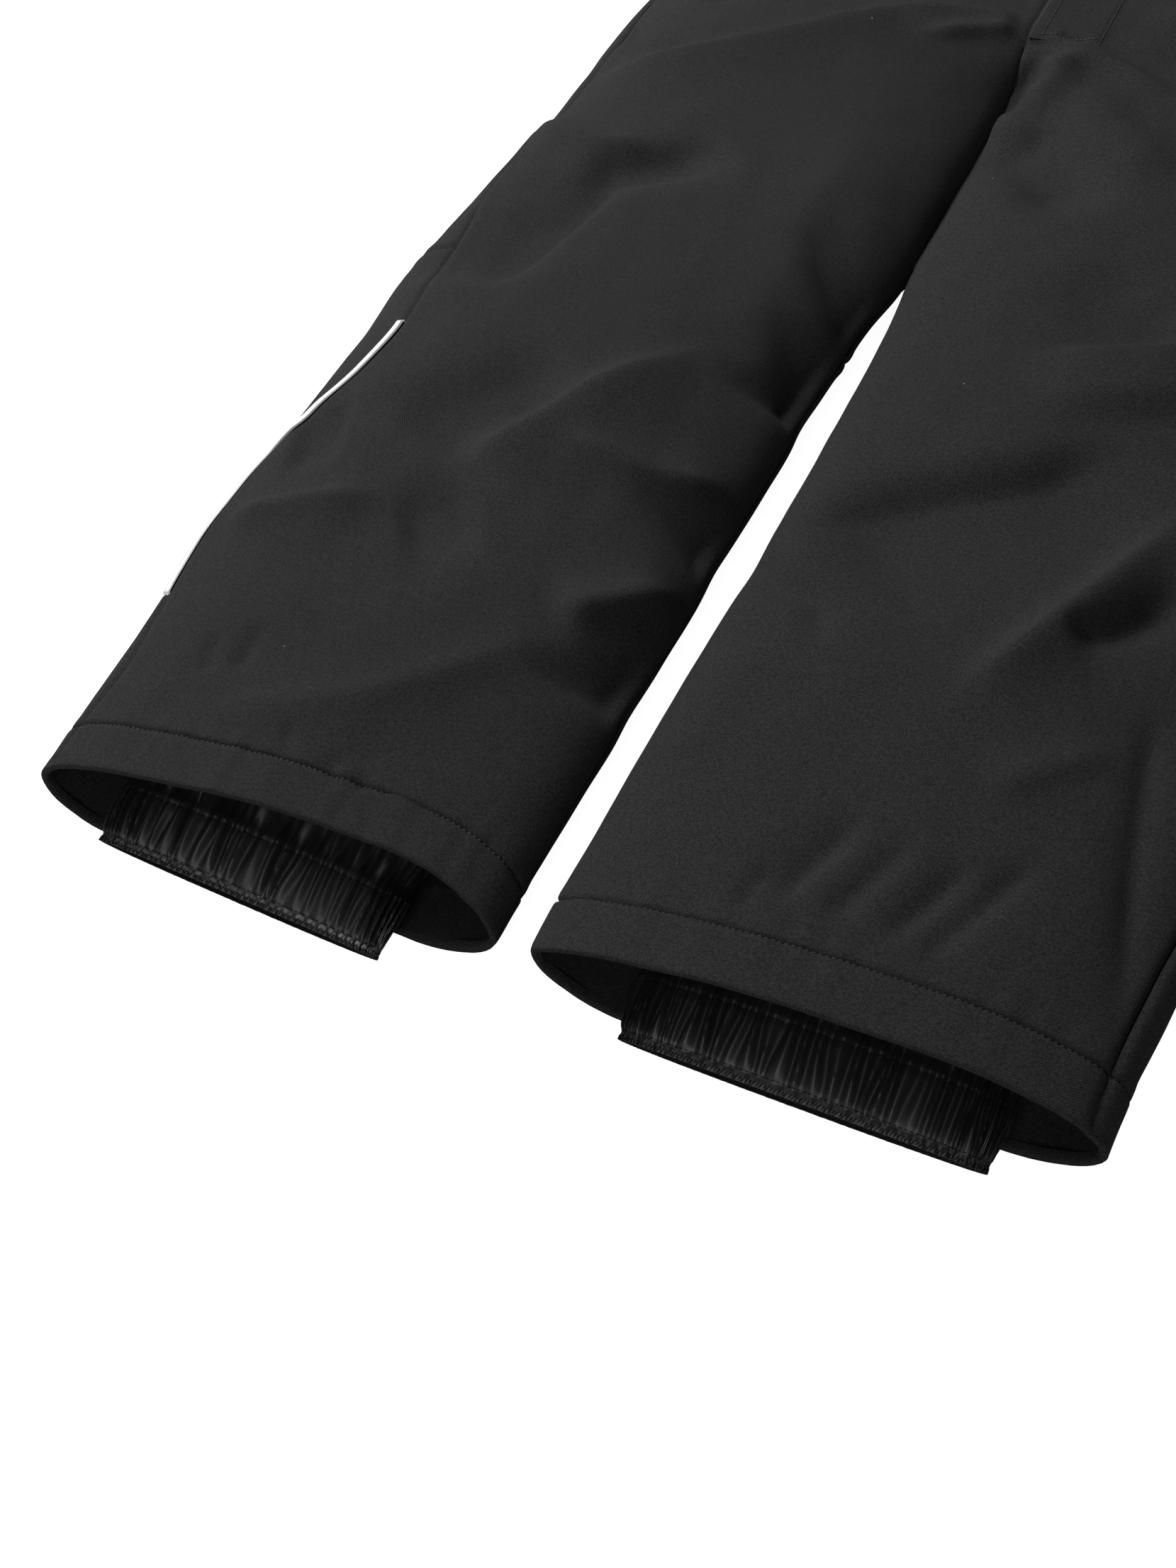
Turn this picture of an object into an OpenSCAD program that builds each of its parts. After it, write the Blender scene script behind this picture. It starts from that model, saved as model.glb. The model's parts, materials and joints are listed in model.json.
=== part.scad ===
// Insulated ski pants lying flat on their back, front side up.
// +Y runs from the leg hems to the waist, +X is the wearer's left, +Z is up.
// The origin is on the ground under the middle of the garment.

/* [Size] */
// Inside leg length, hem to crotch
inseam = 680; // [640:10:720]
// Height of the knee fold above the hem
knee_y = 393; // [370:1:410]
// Height of the waist above the crotch at the front
front_rise = 245; // [235:5:255]
// How much higher the waist reaches at the back
back_rise_extra = 35; // [20:5:40]

/* [Legs] */
// Distance from the centre to the outer side at the hem
hem_half = 233; // [225:1:238]
// Distance from the centre to the outer side at the knee and hip
leg_half = 252; // [246:1:258]
// Distance from the centre to the outer side at the waist
waist_half = 188; // [180:1:196]
// Gap between the two hems
hem_gap = 16.4; // [12:0.2:20]
// Height of the hem opening
hem_height = 46; // [42:1:50]
// Height of the crowned front above the ground
leg_height = 54; // [52:1:58]
// Height of the side fold above the ground
fold_height = 18; // [16:1:20]
// How far round towards the front the side seam lies, in degrees
seam_angle = 24; // [18:1:30]

/* [Cloth] */
// Thickness of the outer cloth
cloth_t = 1; // [0.8:0.1:1.2]
// Thickness of the insulation
batt_t = 4; // [3:0.5:4.5]
// Thickness of the lining
lining_t = 0.8; // [0.6:0.1:1]
// Height of the waistband
band_h = 40; // [34:1:44]

/* [Gaiters] */
// Flat width of the elastic gaiter cuff
cuff_w = 144; // [130:1:150]
// Height of the flattened cuff tube
cuff_tube_h = 18; // [16:1:20]
// Length of the cuff along the leg
cuff_len = 25; // [22:1:28]
// How far the cuff shows below the hem
cuff_drop = 15; // [10:1:18]
// Length of the skirt from the cuff up to the lining
skirt_len = 118; // [100:1:130]

/* [Reflective piping] */
// Lower end of the piping above the hem
piping_low = 108; // [100:1:120]
// Upper end of the piping above the hem
piping_high = 322; // [300:1:340]

/* [Fly] */
// Width of the fly flap, centre seam to stitching
flap_w = 40; // [34:1:44]
// Gap between the lower end of the fly and the crotch
fly_low_gap = 6; // [4:1:12]
// Zip line, distance from the centre seam
zip_x = 19; // [17:1:22]
// Travel of the fly slider
fly_travel = 150; // [120:5:160]

/* [Pockets] */
// Length of each pocket zip
pocket_zip_len = 138; // [120:1:140]
// Travel of each pocket slider
pocket_travel = 112; // [90:1:112]

/* [Hidden] */

// Colours
CLOTH = "#2b2b2d";
TAFFETA = "#1b1b1d";
BATTING = "#d9d9d4";
SILVER = "#c4c6c8";
GUNMETAL = "#4a4b4e";
WEBBING = "#202022";

// Waist, and the middle of the garment's length
front_top = inseam + front_rise;
back_top = front_top + back_rise_extra;
middle_y = (back_top - cuff_drop) / 2;
// Clearances
body_gap = 0.6;
layer_gap = 0.2;
skirt_gap = 1.4;
// Depths of the layers below the outer surface
batt_d = cloth_t + layer_gap;
lining_d = batt_d + batt_t + layer_gap;
inside_d = lining_d + lining_t;
// Angles at which the panels end: side seam, and inside leg seam
seam_slit = 0.4;
inseam_angle = 178.5;
// Fractions and reaches of the garment's outline
closed_gap_y = 440;
hip_y = 760;
crotch_fade_low = 45;
crotch_fade_high = 8;
bottom_overshoot = 4;
cuff_seat = 3;
front_turn = 2.3;
crown_turn = 2.2;
// Stations along the shin and the thigh; the hem facing reaches the first one
// above the hem, where the lining starts, and the insulation starts one higher
SHIN_ROWS = 10;
THIGH_ROWS = 14;
LINING_ROW = 1;
INSULATION_ROW = 2;
// Fly levels, measured down from the crowned front
fly_low = inseam - fly_low_gap;
band_low = front_top - band_h;
shield_drop = 9.5;
tape_drop = 5.4;
teeth_half_h = 1;
// Seat of the back waistband, raised so that its belt loops clear the ground
back_band_d = 1.6;
band_t = 1.2;
elastic_t = 1.2;
facing_t = 1;

function clamp01(t) = max(0, min(1, t));
function smooth(t) = let (c = clamp01(t)) c * c * (3 - 2 * c);
function mix(a, b, t) = a + (b - a) * t;
function power(v, e) = sign(v) * pow(abs(v), e);
function steps(a, b, n) = [for (i = [0:n]) mix(a, b, i / n)];

// Outline of one leg, seen from above
function outer_x(y) =
    hem_half + (leg_half - hem_half) * smooth(y / 220)
    - (leg_half - waist_half) * smooth((y - hip_y) / (back_top - hip_y));
function inner_x(y) = mix(hem_gap / 2, body_gap, clamp01(y / closed_gap_y));
function crown(y) = mix(hem_height, leg_height, smooth(y / 300));
// 1 where the legs are separate tubes, 0 where they have joined into the hips
function apart(y) =
    1 - smooth((y - inseam + crotch_fade_low) / (crotch_fade_low + crotch_fade_high));
// The waist edge rises from the front to the back
function waist_rise(y, a) =
    let (share = smooth((y - inseam - 20) / (front_rise - 20)))
    let (side = pow(max(0, cos(a)), 3) / 2)
    back_rise_extra * share * (a > 0 ? side : 1 - side);

// A point of the left leg and hip: station y, angle a (0 at the outer side,
// 90 at the crown, -90 on the ground), depth d below the outer surface
function leg_point(y, a, d) =
    let (xi = inner_x(y))
    let (xo = outer_x(y))
    let (half = (xo - xi) / 2)
    let (c = cos(a))
    let (k = c < 0 ? apart(y) : 1)
    let (ex = power(c, 2 / front_turn))
    let (lift = mix(1, pow(abs(sin(a)), 2 / crown_turn), k))
    let (x = (xo + xi) / 2 + (half - d * k) * ex)
    let (top = fold_height + (crown(y) - fold_height - d) * lift)
    let (low = max(d, fold_height - (fold_height + bottom_overshoot - d) * lift))
    [x, y + waist_rise(y, a), a > 0 ? top : low];

// A point of the gaiter cuff and skirt: 0 at the cuff, 1 where it joins the lining
function gaiter_point(y, a, d) =
    let (low_y = cuff_len - cuff_drop)
    let (t = clamp01((y - low_y) / skirt_len))
    let (xi = inner_x(y))
    let (xo = outer_x(y))
    let (mid = (hem_half + hem_gap / 2) / 2)
    let (half = mix(cuff_w / 2, (xo - xi) / 2 - inside_d - skirt_gap, smooth(t)))
    let (cx = mix(mid + 3, (xo + xi) / 2, smooth(t)))
    let (low = mix(cuff_seat, inside_d + skirt_gap, clamp01((y - low_y) / 29)))
    let (top = mix(cuff_seat + cuff_tube_h, crown(y) - inside_d - skirt_gap, smooth(t)))
    let (fold = mix(cuff_seat + cuff_tube_h / 2, fold_height, smooth(t)))
    let (lift = pow(abs(sin(a)), 2 / crown_turn))
    let (z = a > 0 ? fold + (top - fold - d) * lift : fold - (fold - low - d) * lift)
    [cx + (half - d) * power(cos(a), 2 / front_turn), y, z];

function quad(p, q, r, s) = [[p, q, r], [p, r, s]];

// A closed sheet between depths d0 and d1 of the surface f(y, a, d)
module loft(f, ys, angles, d0, d1, ring = false) {
    ny = len(ys);
    na = len(angles);
    last = ring ? na - 1 : na - 2;
    count = ny * na;
    id = function(i, j, layer) layer * count + i * na + j % na;
    skins = [
        for (i = [0:ny - 2])
            for (j = [0:last])
                each concat(
                    quad(id(i, j, 0), id(i, j + 1, 0), id(i + 1, j + 1, 0), id(i + 1, j, 0)),
                    quad(id(i, j, 1), id(i + 1, j, 1), id(i + 1, j + 1, 1), id(i, j + 1, 1))
                )
    ];
    ends = [
        for (j = [0:last])
            each concat(
                quad(id(0, j, 0), id(0, j, 1), id(0, j + 1, 1), id(0, j + 1, 0)),
                quad(id(ny - 1, j, 0), id(ny - 1, j + 1, 0), id(ny - 1, j + 1, 1), id(ny - 1, j, 1))
            )
    ];
    edges = [
        for (i = [0:ny - 2])
            each concat(
                quad(id(i, 0, 0), id(i + 1, 0, 0), id(i + 1, 0, 1), id(i, 0, 1)),
                quad(id(i + 1, na - 1, 0), id(i, na - 1, 0), id(i, na - 1, 1), id(i + 1, na - 1, 1))
            )
    ];
    points = [for (d = [d0, d1]) for (y = ys) for (a = angles) f(y, a, d)];
    polyhedron(points, concat(skins, ends, ring ? [] : edges));
}

LEG = function(y, a, d) leg_point(y, a, d);
GAITER = function(y, a, d) gaiter_point(y, a, d);
FRONT = steps(seam_angle, inseam_angle, 12);
BACK = steps(-inseam_angle, seam_angle - seam_slit, 14);
LEG_RING = concat(BACK, FRONT);
SHIN = steps(0, knee_y - body_gap / 2, SHIN_ROWS);
THIGH = steps(knee_y + body_gap / 2, band_low - layer_gap, THIGH_ROWS);
BAND = steps(band_low, front_top, 2);
function from_row(list, first) = [for (i = [first:len(list) - 1]) list[i]];

// Places a piece of the left side, or its mirror image on the right side
module on_side(side) {
    translate([0, -middle_y, 0])
        mirror([side == "left" ? 0 : 1, 0, 0])
            children();
}

// The space of the fly flap, cut out of the left front
module fly_cutout() {
    translate([-1, fly_low - body_gap, leg_height - 14])
        cube([flap_w + 1, front_top - fly_low + 30, 20]);
}

// ---- Outer cloth ----
module front_thigh_panel(side) {
    color(CLOTH) on_side(side) difference() {
        loft(LEG, THIGH, FRONT, 0, cloth_t);
        if (side == "left") fly_cutout();
    }
}

module back_thigh_panel(side) {
    color(CLOTH) on_side(side)
        loft(LEG, THIGH, BACK, 0, cloth_t);
}

module front_shin_panel(side) {
    color(CLOTH) on_side(side)
        loft(LEG, SHIN, FRONT, 0, cloth_t);
}

module back_calf_panel(side) {
    color(CLOTH) on_side(side)
        loft(LEG, SHIN, BACK, 0, cloth_t);
}

module hem_facing(side) {
    color(CLOTH) on_side(side)
        loft(LEG, [SHIN[0], SHIN[LINING_ROW]], LEG_RING, batt_d, batt_d + cloth_t, ring = true);
}

module reflective_piping(side) {
    color(SILVER) on_side(side)
        loft(LEG, steps(piping_low, piping_high, 8), steps(seam_angle - 7, seam_angle - 1, 2), -1.1, -0.1);
}

// ---- Insulation and lining ----
// Front and back sheets of one inner layer
module layer_sheets(stations, d0, d1) {
    loft(LEG, stations, FRONT, d0, d1);
    loft(LEG, stations, BACK, d0, d1);
}

// Around the fly the inner layers stand back from the zip
module zip_cutout() {
    translate([-1, fly_low - body_gap, leg_height - 14])
        cube([flap_w + 7, front_rise, 20]);
}

module thigh_insulation(side) {
    color(BATTING) on_side(side) difference() {
        layer_sheets(THIGH, batt_d, batt_d + batt_t);
        if (side == "left") zip_cutout();
    }
}

module thigh_lining(side) {
    color(TAFFETA) on_side(side) difference() {
        layer_sheets(THIGH, lining_d, inside_d);
        if (side == "left") zip_cutout();
    }
}

module shin_insulation(side) {
    color(BATTING) on_side(side) layer_sheets(from_row(SHIN, INSULATION_ROW), batt_d, batt_d + batt_t);
}

module shin_lining(side) {
    color(TAFFETA) on_side(side) layer_sheets(from_row(SHIN, LINING_ROW), lining_d, inside_d);
}

// ---- Gaiters ----
module gaiter_skirt(side) {
    low = cuff_len - cuff_drop + body_gap;
    color(TAFFETA) on_side(side)
        loft(GAITER, steps(low, cuff_len - cuff_drop + skirt_len, 7), LEG_RING, 0, lining_t, ring = true);
}

module gaiter_cuff(side) {
    color(TAFFETA) on_side(side)
        loft(GAITER, [-cuff_drop, cuff_len - cuff_drop], LEG_RING, 0, cloth_t, ring = true);
}

module gaiter_elastic(side) {
    color(WEBBING) on_side(side)
        loft(GAITER, [2 - cuff_drop, cuff_len - cuff_drop - 2], LEG_RING, batt_d, batt_d + cloth_t, ring = true);
}

// ---- Waist ----
module front_waistband(side) {
    color(CLOTH) on_side(side) difference() {
        loft(LEG, BAND, FRONT, 0, band_t);
        if (side == "left") fly_cutout();
    }
}

module back_waistband() {
    color(CLOTH) for (side = ["left", "right"]) on_side(side)
        loft(LEG, BAND, BACK, back_band_d, back_band_d + band_t);
}

module waist_elastic() {
    low_d = back_band_d + band_t + layer_gap;
    color(WEBBING) for (side = ["left", "right"]) on_side(side)
        loft(LEG, BAND, [for (i = [0:12]) BACK[i]], low_d, low_d + elastic_t);
}

module front_waist_facing() {
    color(TAFFETA) for (side = ["left", "right"]) on_side(side) difference() {
        loft(LEG, BAND, FRONT, band_t + layer_gap, band_t + layer_gap + facing_t);
        if (side == "left") fly_cutout();
    }
}

module back_waist_facing() {
    low_d = back_band_d + band_t + elastic_t + 2 * layer_gap;
    color(TAFFETA) for (side = ["left", "right"]) on_side(side)
        loft(LEG, BAND, BACK, low_d, low_d + facing_t);
}

module belt_loop(x, y, z, length) {
    translate([x - 4, y, z]) cube([8, length, band_t]);
}

module belt_loops() {
    loop_x = 88;
    back_y = band_low + back_rise_extra + 0.4;
    color(CLOTH) for (side = ["left", "right"]) on_side(side) {
        belt_loop(loop_x, band_low - 4, leg_height + 0.1, band_h + 6);
        belt_loop(loop_x, back_y, 0.2, band_h - 1);
    }
    color(CLOTH) on_side("left") belt_loop(0, back_y, 0.2, band_h - 1);
}

// ---- Fly ----
// A flat rounded strip, lying in the plane of the crowned front
module strip(x0, x1, y0, y1, z0, z1) {
    translate([x0, y0, z0]) cube([x1 - x0, y1 - y0, z1 - z0]);
}

module fly_flap() {
    color(CLOTH) on_side("left")
        strip(body_gap, flap_w - body_gap, fly_low, band_low - layer_gap, leg_height - cloth_t, leg_height);
}

module fly_facing() {
    top = leg_height - cloth_t - layer_gap;
    color(TAFFETA) on_side("left")
        strip(1, flap_w - 1, fly_low + 1, band_low - 1, top - lining_t, top);
}

module waist_tab() {
    color(CLOTH) on_side("left")
        strip(body_gap, flap_w - body_gap, band_low, front_top, leg_height - 2.2, leg_height);
}

module snap_cap() {
    color(GUNMETAL) on_side("left")
        translate([zip_x, front_top - band_h / 2, leg_height]) {
            cylinder(d = 15, h = 1.2, $fn = 48);
            translate([0, 0, 1.2]) cylinder(d1 = 15, d2 = 11, h = 0.9, $fn = 48);
        }
}

module snap_stud() {
    base = leg_height - shield_drop + 1;
    color(GUNMETAL) on_side("left")
        translate([zip_x, front_top - band_h / 2, base]) {
            cylinder(d = 13, h = 1.2, $fn = 48);
            cylinder(d = 7, h = 4.8, $fn = 48);
        }
}

module fly_shield() {
    top = leg_height - shield_drop + 1;
    color(CLOTH) on_side("left")
        strip(-18, flap_w + 4, fly_low + 18, front_top - 2, top - cloth_t, top);
}

module fly_zip_tape() {
    level = leg_height - tape_drop;
    color(WEBBING) on_side("left") {
        strip(zip_x - 14, zip_x - 2.2, fly_low + 12, band_low - 2, level - 0.4, level + 0.4);
        strip(zip_x + 2.2, zip_x + 14, fly_low + 12, band_low - 2, level - 0.4, level + 0.4);
    }
}

module fly_zip_teeth() {
    level = leg_height - tape_drop;
    pitch = 2.6;
    first = fly_low + 20;
    count = floor((band_low - 18 - first) / pitch);
    color(GUNMETAL) on_side("left")
        for (i = [0:count - 1])
            translate([zip_x + (i % 2 == 0 ? -2.1 : 0.4), first + i * pitch, level - teeth_half_h])
                cube([1.7, 1.5, 2 * teeth_half_h]);
}

module fly_bottom_stop() {
    color(GUNMETAL) on_side("left")
        translate([zip_x - 2, fly_low + 14, leg_height - tape_drop - 1.3]) cube([4, 4, 2.6]);
}

// Two plates joined by a thin post that runs between the rows of teeth
module fly_slider() {
    half_gap = teeth_half_h + 0.4;
    plate = 0.9;
    color(GUNMETAL) on_side("left")
        translate([zip_x, band_low - 10, leg_height - tape_drop]) {
            translate([-4.5, -5.5, half_gap]) cube([9, 11, plate]);
            translate([-4.5, -5.5, -half_gap - plate]) cube([9, 11, plate]);
            translate([-0.2, -1, -half_gap - plate / 2]) cube([0.4, 6, 2 * half_gap + plate]);
        }
}

module fly_pull() {
    level = leg_height - tape_drop + teeth_half_h + 0.4 + 0.9;
    color(GUNMETAL) on_side("left")
        translate([zip_x, band_low - 12, level]) difference() {
            union() {
                translate([-3, -22, 0]) cube([6, 22, 0.6]);
                translate([0, -22, 0]) cylinder(d = 6, h = 0.6, $fn = 32);
            }
            translate([0, -20, -1]) cylinder(d = 3, h = 3, $fn = 32);
        }
}

// ---- Pockets ----
pocket_top = [118, band_low - 18];
pocket_low = [186, band_low - 18 - 120];
function crown_z(x, y) =
    let (half = (outer_x(y) - inner_x(y)) / 2)
    let (u = clamp01((x - inner_x(y) - half) / half))
    let (s = sqrt(1 - pow(pow(u, front_turn / 2), 2)))
    fold_height + (crown(y) - fold_height) * pow(s, 2 / crown_turn);
zip_raise = 1.5;
slider_x = 13;
zip_start = [pocket_top.x, pocket_top.y, crown_z(pocket_top.x, pocket_top.y) + zip_raise];
zip_end = [pocket_low.x, pocket_low.y, crown_z(pocket_low.x, pocket_low.y) + zip_raise];
zip_dir = (zip_end - zip_start) / norm(zip_end - zip_start);

// Turns local +X to run down along the pocket zip from its upper end
module along_pocket() {
    flat = norm([zip_dir.x, zip_dir.y]);
    translate(zip_start)
        rotate([0, -atan2(zip_dir.z, flat), atan2(zip_dir.y, zip_dir.x)])
            children();
}

module pocket_zip(side) {
    color(WEBBING) on_side(side) along_pocket() {
        translate([0, -7, 0]) cube([pocket_zip_len, 14, 0.8]);
        translate([4, -1.6, 0.8]) cube([pocket_zip_len - 8, 3.2, 0.8]);
    }
}

module pocket_slider(side) {
    color(GUNMETAL) on_side(side) along_pocket() translate([slider_x, 0, 2]) {
        translate([-5, -4, 0]) cube([10, 8, 1.4]);
        translate([-1.5, -1.2, 1.4]) cube([3, 2.4, 1.4]);
    }
}

module pocket_pull(side) {
    color(GUNMETAL) on_side(side) along_pocket() translate([slider_x + 1.8, 0, 3.8]) difference() {
        union() {
            translate([0, -3, 0]) cube([24, 6, 1.2]);
            translate([24, 0, 0]) cylinder(d = 6, h = 1.2, $fn = 32);
        }
        translate([22, 0, -1]) cylinder(d = 3, h = 4, $fn = 32);
    }
}

module pocket_bag(side) {
    color(TAFFETA) on_side(side)
        translate([92, band_low - 190, leg_height - 15.5]) hull() {
            for (corner = [[15, 15], [85, 15], [15, 160], [55, 160]])
                translate([corner.x, corner.y, 0]) cylinder(r = 14, h = 2.4, $fn = 24);
        }
}

// ---- Waist adjusters ----
adjuster_x = 166;
adjuster_len = 54;
module waist_adjuster(side) {
    color(CLOTH) on_side(side)
        translate([adjuster_x - adjuster_len, front_top - band_h / 2 - 13, leg_height + 1.6]) {
            translate([13, 0, 0]) cube([adjuster_len - 13, 26, 1.6]);
            translate([13, 13, 0]) cylinder(r = 13, h = 1.6, $fn = 48);
        }
}

module adjuster_patch(side) {
    color(WEBBING) on_side(side)
        translate([adjuster_x - adjuster_len + 2, front_top - band_h / 2 - 12, leg_height + 0.2])
            cube([adjuster_len - 6, 24, 0.9]);
}

front_thigh_panel("left");  // left_front_thigh_panel
front_thigh_panel("right");  // right_front_thigh_panel
back_thigh_panel("left");  // left_back_thigh_panel
back_thigh_panel("right");  // right_back_thigh_panel
thigh_insulation("left");  // left_thigh_insulation
thigh_insulation("right");  // right_thigh_insulation
thigh_lining("left");  // left_thigh_lining
thigh_lining("right");  // right_thigh_lining
front_shin_panel("left");  // left_front_shin_panel
front_shin_panel("right");  // right_front_shin_panel
back_calf_panel("left");  // left_back_calf_panel
back_calf_panel("right");  // right_back_calf_panel
shin_insulation("left");  // left_shin_insulation
shin_insulation("right");  // right_shin_insulation
shin_lining("left");  // left_shin_lining
shin_lining("right");  // right_shin_lining
hem_facing("left");  // left_hem_facing
hem_facing("right");  // right_hem_facing
reflective_piping("left");  // left_reflective_piping
reflective_piping("right");  // right_reflective_piping
gaiter_skirt("left");  // left_gaiter_skirt
gaiter_skirt("right");  // right_gaiter_skirt
gaiter_cuff("left");  // left_gaiter_cuff
gaiter_cuff("right");  // right_gaiter_cuff
gaiter_elastic("left");  // left_gaiter_elastic
gaiter_elastic("right");  // right_gaiter_elastic
front_waistband("left");  // left_front_waistband
front_waistband("right");  // right_front_waistband
back_waistband();
waist_elastic();
front_waist_facing();
back_waist_facing();
fly_flap();
fly_facing();
waist_tab();
snap_cap();
snap_stud();
fly_shield();
fly_zip_tape();
fly_zip_teeth();
fly_bottom_stop();
fly_slider();
fly_pull();
pocket_bag("left");  // left_pocket_bag
pocket_bag("right");  // right_pocket_bag
pocket_zip("left");  // left_pocket_zip
pocket_zip("right");  // right_pocket_zip
pocket_slider("left");  // left_pocket_slider
pocket_slider("right");  // right_pocket_slider
pocket_pull("left");  // left_pocket_pull
pocket_pull("right");  // right_pocket_pull
waist_adjuster("left");  // left_waist_adjuster
waist_adjuster("right");  // right_waist_adjuster
adjuster_patch("left");  // left_adjuster_patch
adjuster_patch("right");  // right_adjuster_patch
belt_loops();
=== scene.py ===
"""Insulated ski trousers laid flat: the visible pieces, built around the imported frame."""

import json
import logging
import math
from dataclasses import dataclass, field
from enum import Enum
from typing import Callable, Optional, Sequence

import bpy
import numpy as np
from mathutils import Matrix, Vector


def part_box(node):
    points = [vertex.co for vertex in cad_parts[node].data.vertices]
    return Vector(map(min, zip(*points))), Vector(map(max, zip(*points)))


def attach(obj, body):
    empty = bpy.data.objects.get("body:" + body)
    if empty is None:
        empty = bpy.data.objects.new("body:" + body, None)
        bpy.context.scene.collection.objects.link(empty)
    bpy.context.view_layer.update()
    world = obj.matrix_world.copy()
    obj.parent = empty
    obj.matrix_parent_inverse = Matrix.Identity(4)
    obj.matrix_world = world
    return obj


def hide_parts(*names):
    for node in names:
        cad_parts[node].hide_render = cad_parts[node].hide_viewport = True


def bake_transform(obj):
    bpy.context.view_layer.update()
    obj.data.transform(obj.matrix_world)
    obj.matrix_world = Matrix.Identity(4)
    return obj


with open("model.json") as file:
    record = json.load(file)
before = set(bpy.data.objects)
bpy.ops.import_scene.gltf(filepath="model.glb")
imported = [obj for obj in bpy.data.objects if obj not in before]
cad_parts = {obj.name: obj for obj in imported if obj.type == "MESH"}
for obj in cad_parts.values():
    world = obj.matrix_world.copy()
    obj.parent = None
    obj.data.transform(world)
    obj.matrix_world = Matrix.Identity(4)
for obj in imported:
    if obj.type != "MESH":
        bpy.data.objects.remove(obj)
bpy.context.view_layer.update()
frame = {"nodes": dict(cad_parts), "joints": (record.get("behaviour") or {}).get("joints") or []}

LOG = logging.getLogger("ski_trousers")
MM = 0.001
FULL_TURN = 2 * math.pi

Array = np.ndarray
Path = Sequence[tuple[float, float]]


class Side(Enum):
    """The wearer's sides; the value is the sign of X."""

    LEFT = 1
    RIGHT = -1

    @property
    def label(self) -> str:
        """The side's name as the frame's nodes spell it."""
        return self.name.lower()

    @property
    def sign(self) -> float:
        """+1 on the wearer's left and -1 on the right."""
        return float(self.value)


# ---------------------------------------------------------------- small maths


def clamp01(t: Array) -> Array:
    """Limits values to 0..1."""
    return np.clip(t, 0.0, 1.0)


def smooth(t: Array) -> Array:
    """An eased step from 0 to 1."""
    c = clamp01(t)
    return c * c * (3 - 2 * c)


def mix(a: Array, b: Array, t: Array) -> Array:
    """The value a share t of the way from a to b."""
    return a + (b - a) * t


def signed_power(v: Array, exponent: float) -> Array:
    """v to a power, keeping its sign."""
    return np.sign(v) * np.abs(v) ** exponent


def bell(v: Array, reach: float) -> Array:
    """A soft bump, 1 at zero and gone by twice the reach."""
    return np.exp(-((v / reach) ** 2))


def ripples(x: Array, y: Array, length: float, seed: int, waves: int = 7) -> Array:
    """A smooth random field of about unit height.

    Args:
        x: First coordinate in millimetres.
        y: Second coordinate in millimetres.
        length: Typical wavelength in millimetres.
        seed: Seed of the random draw.
        waves: How many sine waves are summed.

    Returns:
        The field's value at every point.
    """
    draw = np.random.default_rng(seed)
    total = np.zeros(np.broadcast(x, y).shape)
    for _ in range(waves):
        turn = draw.uniform(0, math.pi)
        wave = length * draw.uniform(0.7, 1.6)
        shift = draw.uniform(0, FULL_TURN)
        across = (x * math.cos(turn) + y * math.sin(turn)) / wave
        total += np.sin(FULL_TURN * across + shift)
    return total / math.sqrt(waves)


def graded(length: float, step: float, fine: Sequence[float] = ()) -> Array:
    """Fractions 0..1 along a length, with finer steps at both ends.

    Args:
        length: The length in millimetres.
        step: The usual step in millimetres.
        fine: Distances from each end where an extra line lies.

    Returns:
        The sorted fractions.
    """
    low = max(fine) if fine else 0.0
    count = max(2, round((length - 2 * low) / step))
    inner = np.linspace(low, length - low, count + 1)
    ends = np.array([0.0, *fine]) if fine else np.array([0.0])
    return np.unique(np.concatenate([ends, inner, length - ends])) / length


# ------------------------------------------------------------- cloth surfaces


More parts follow.
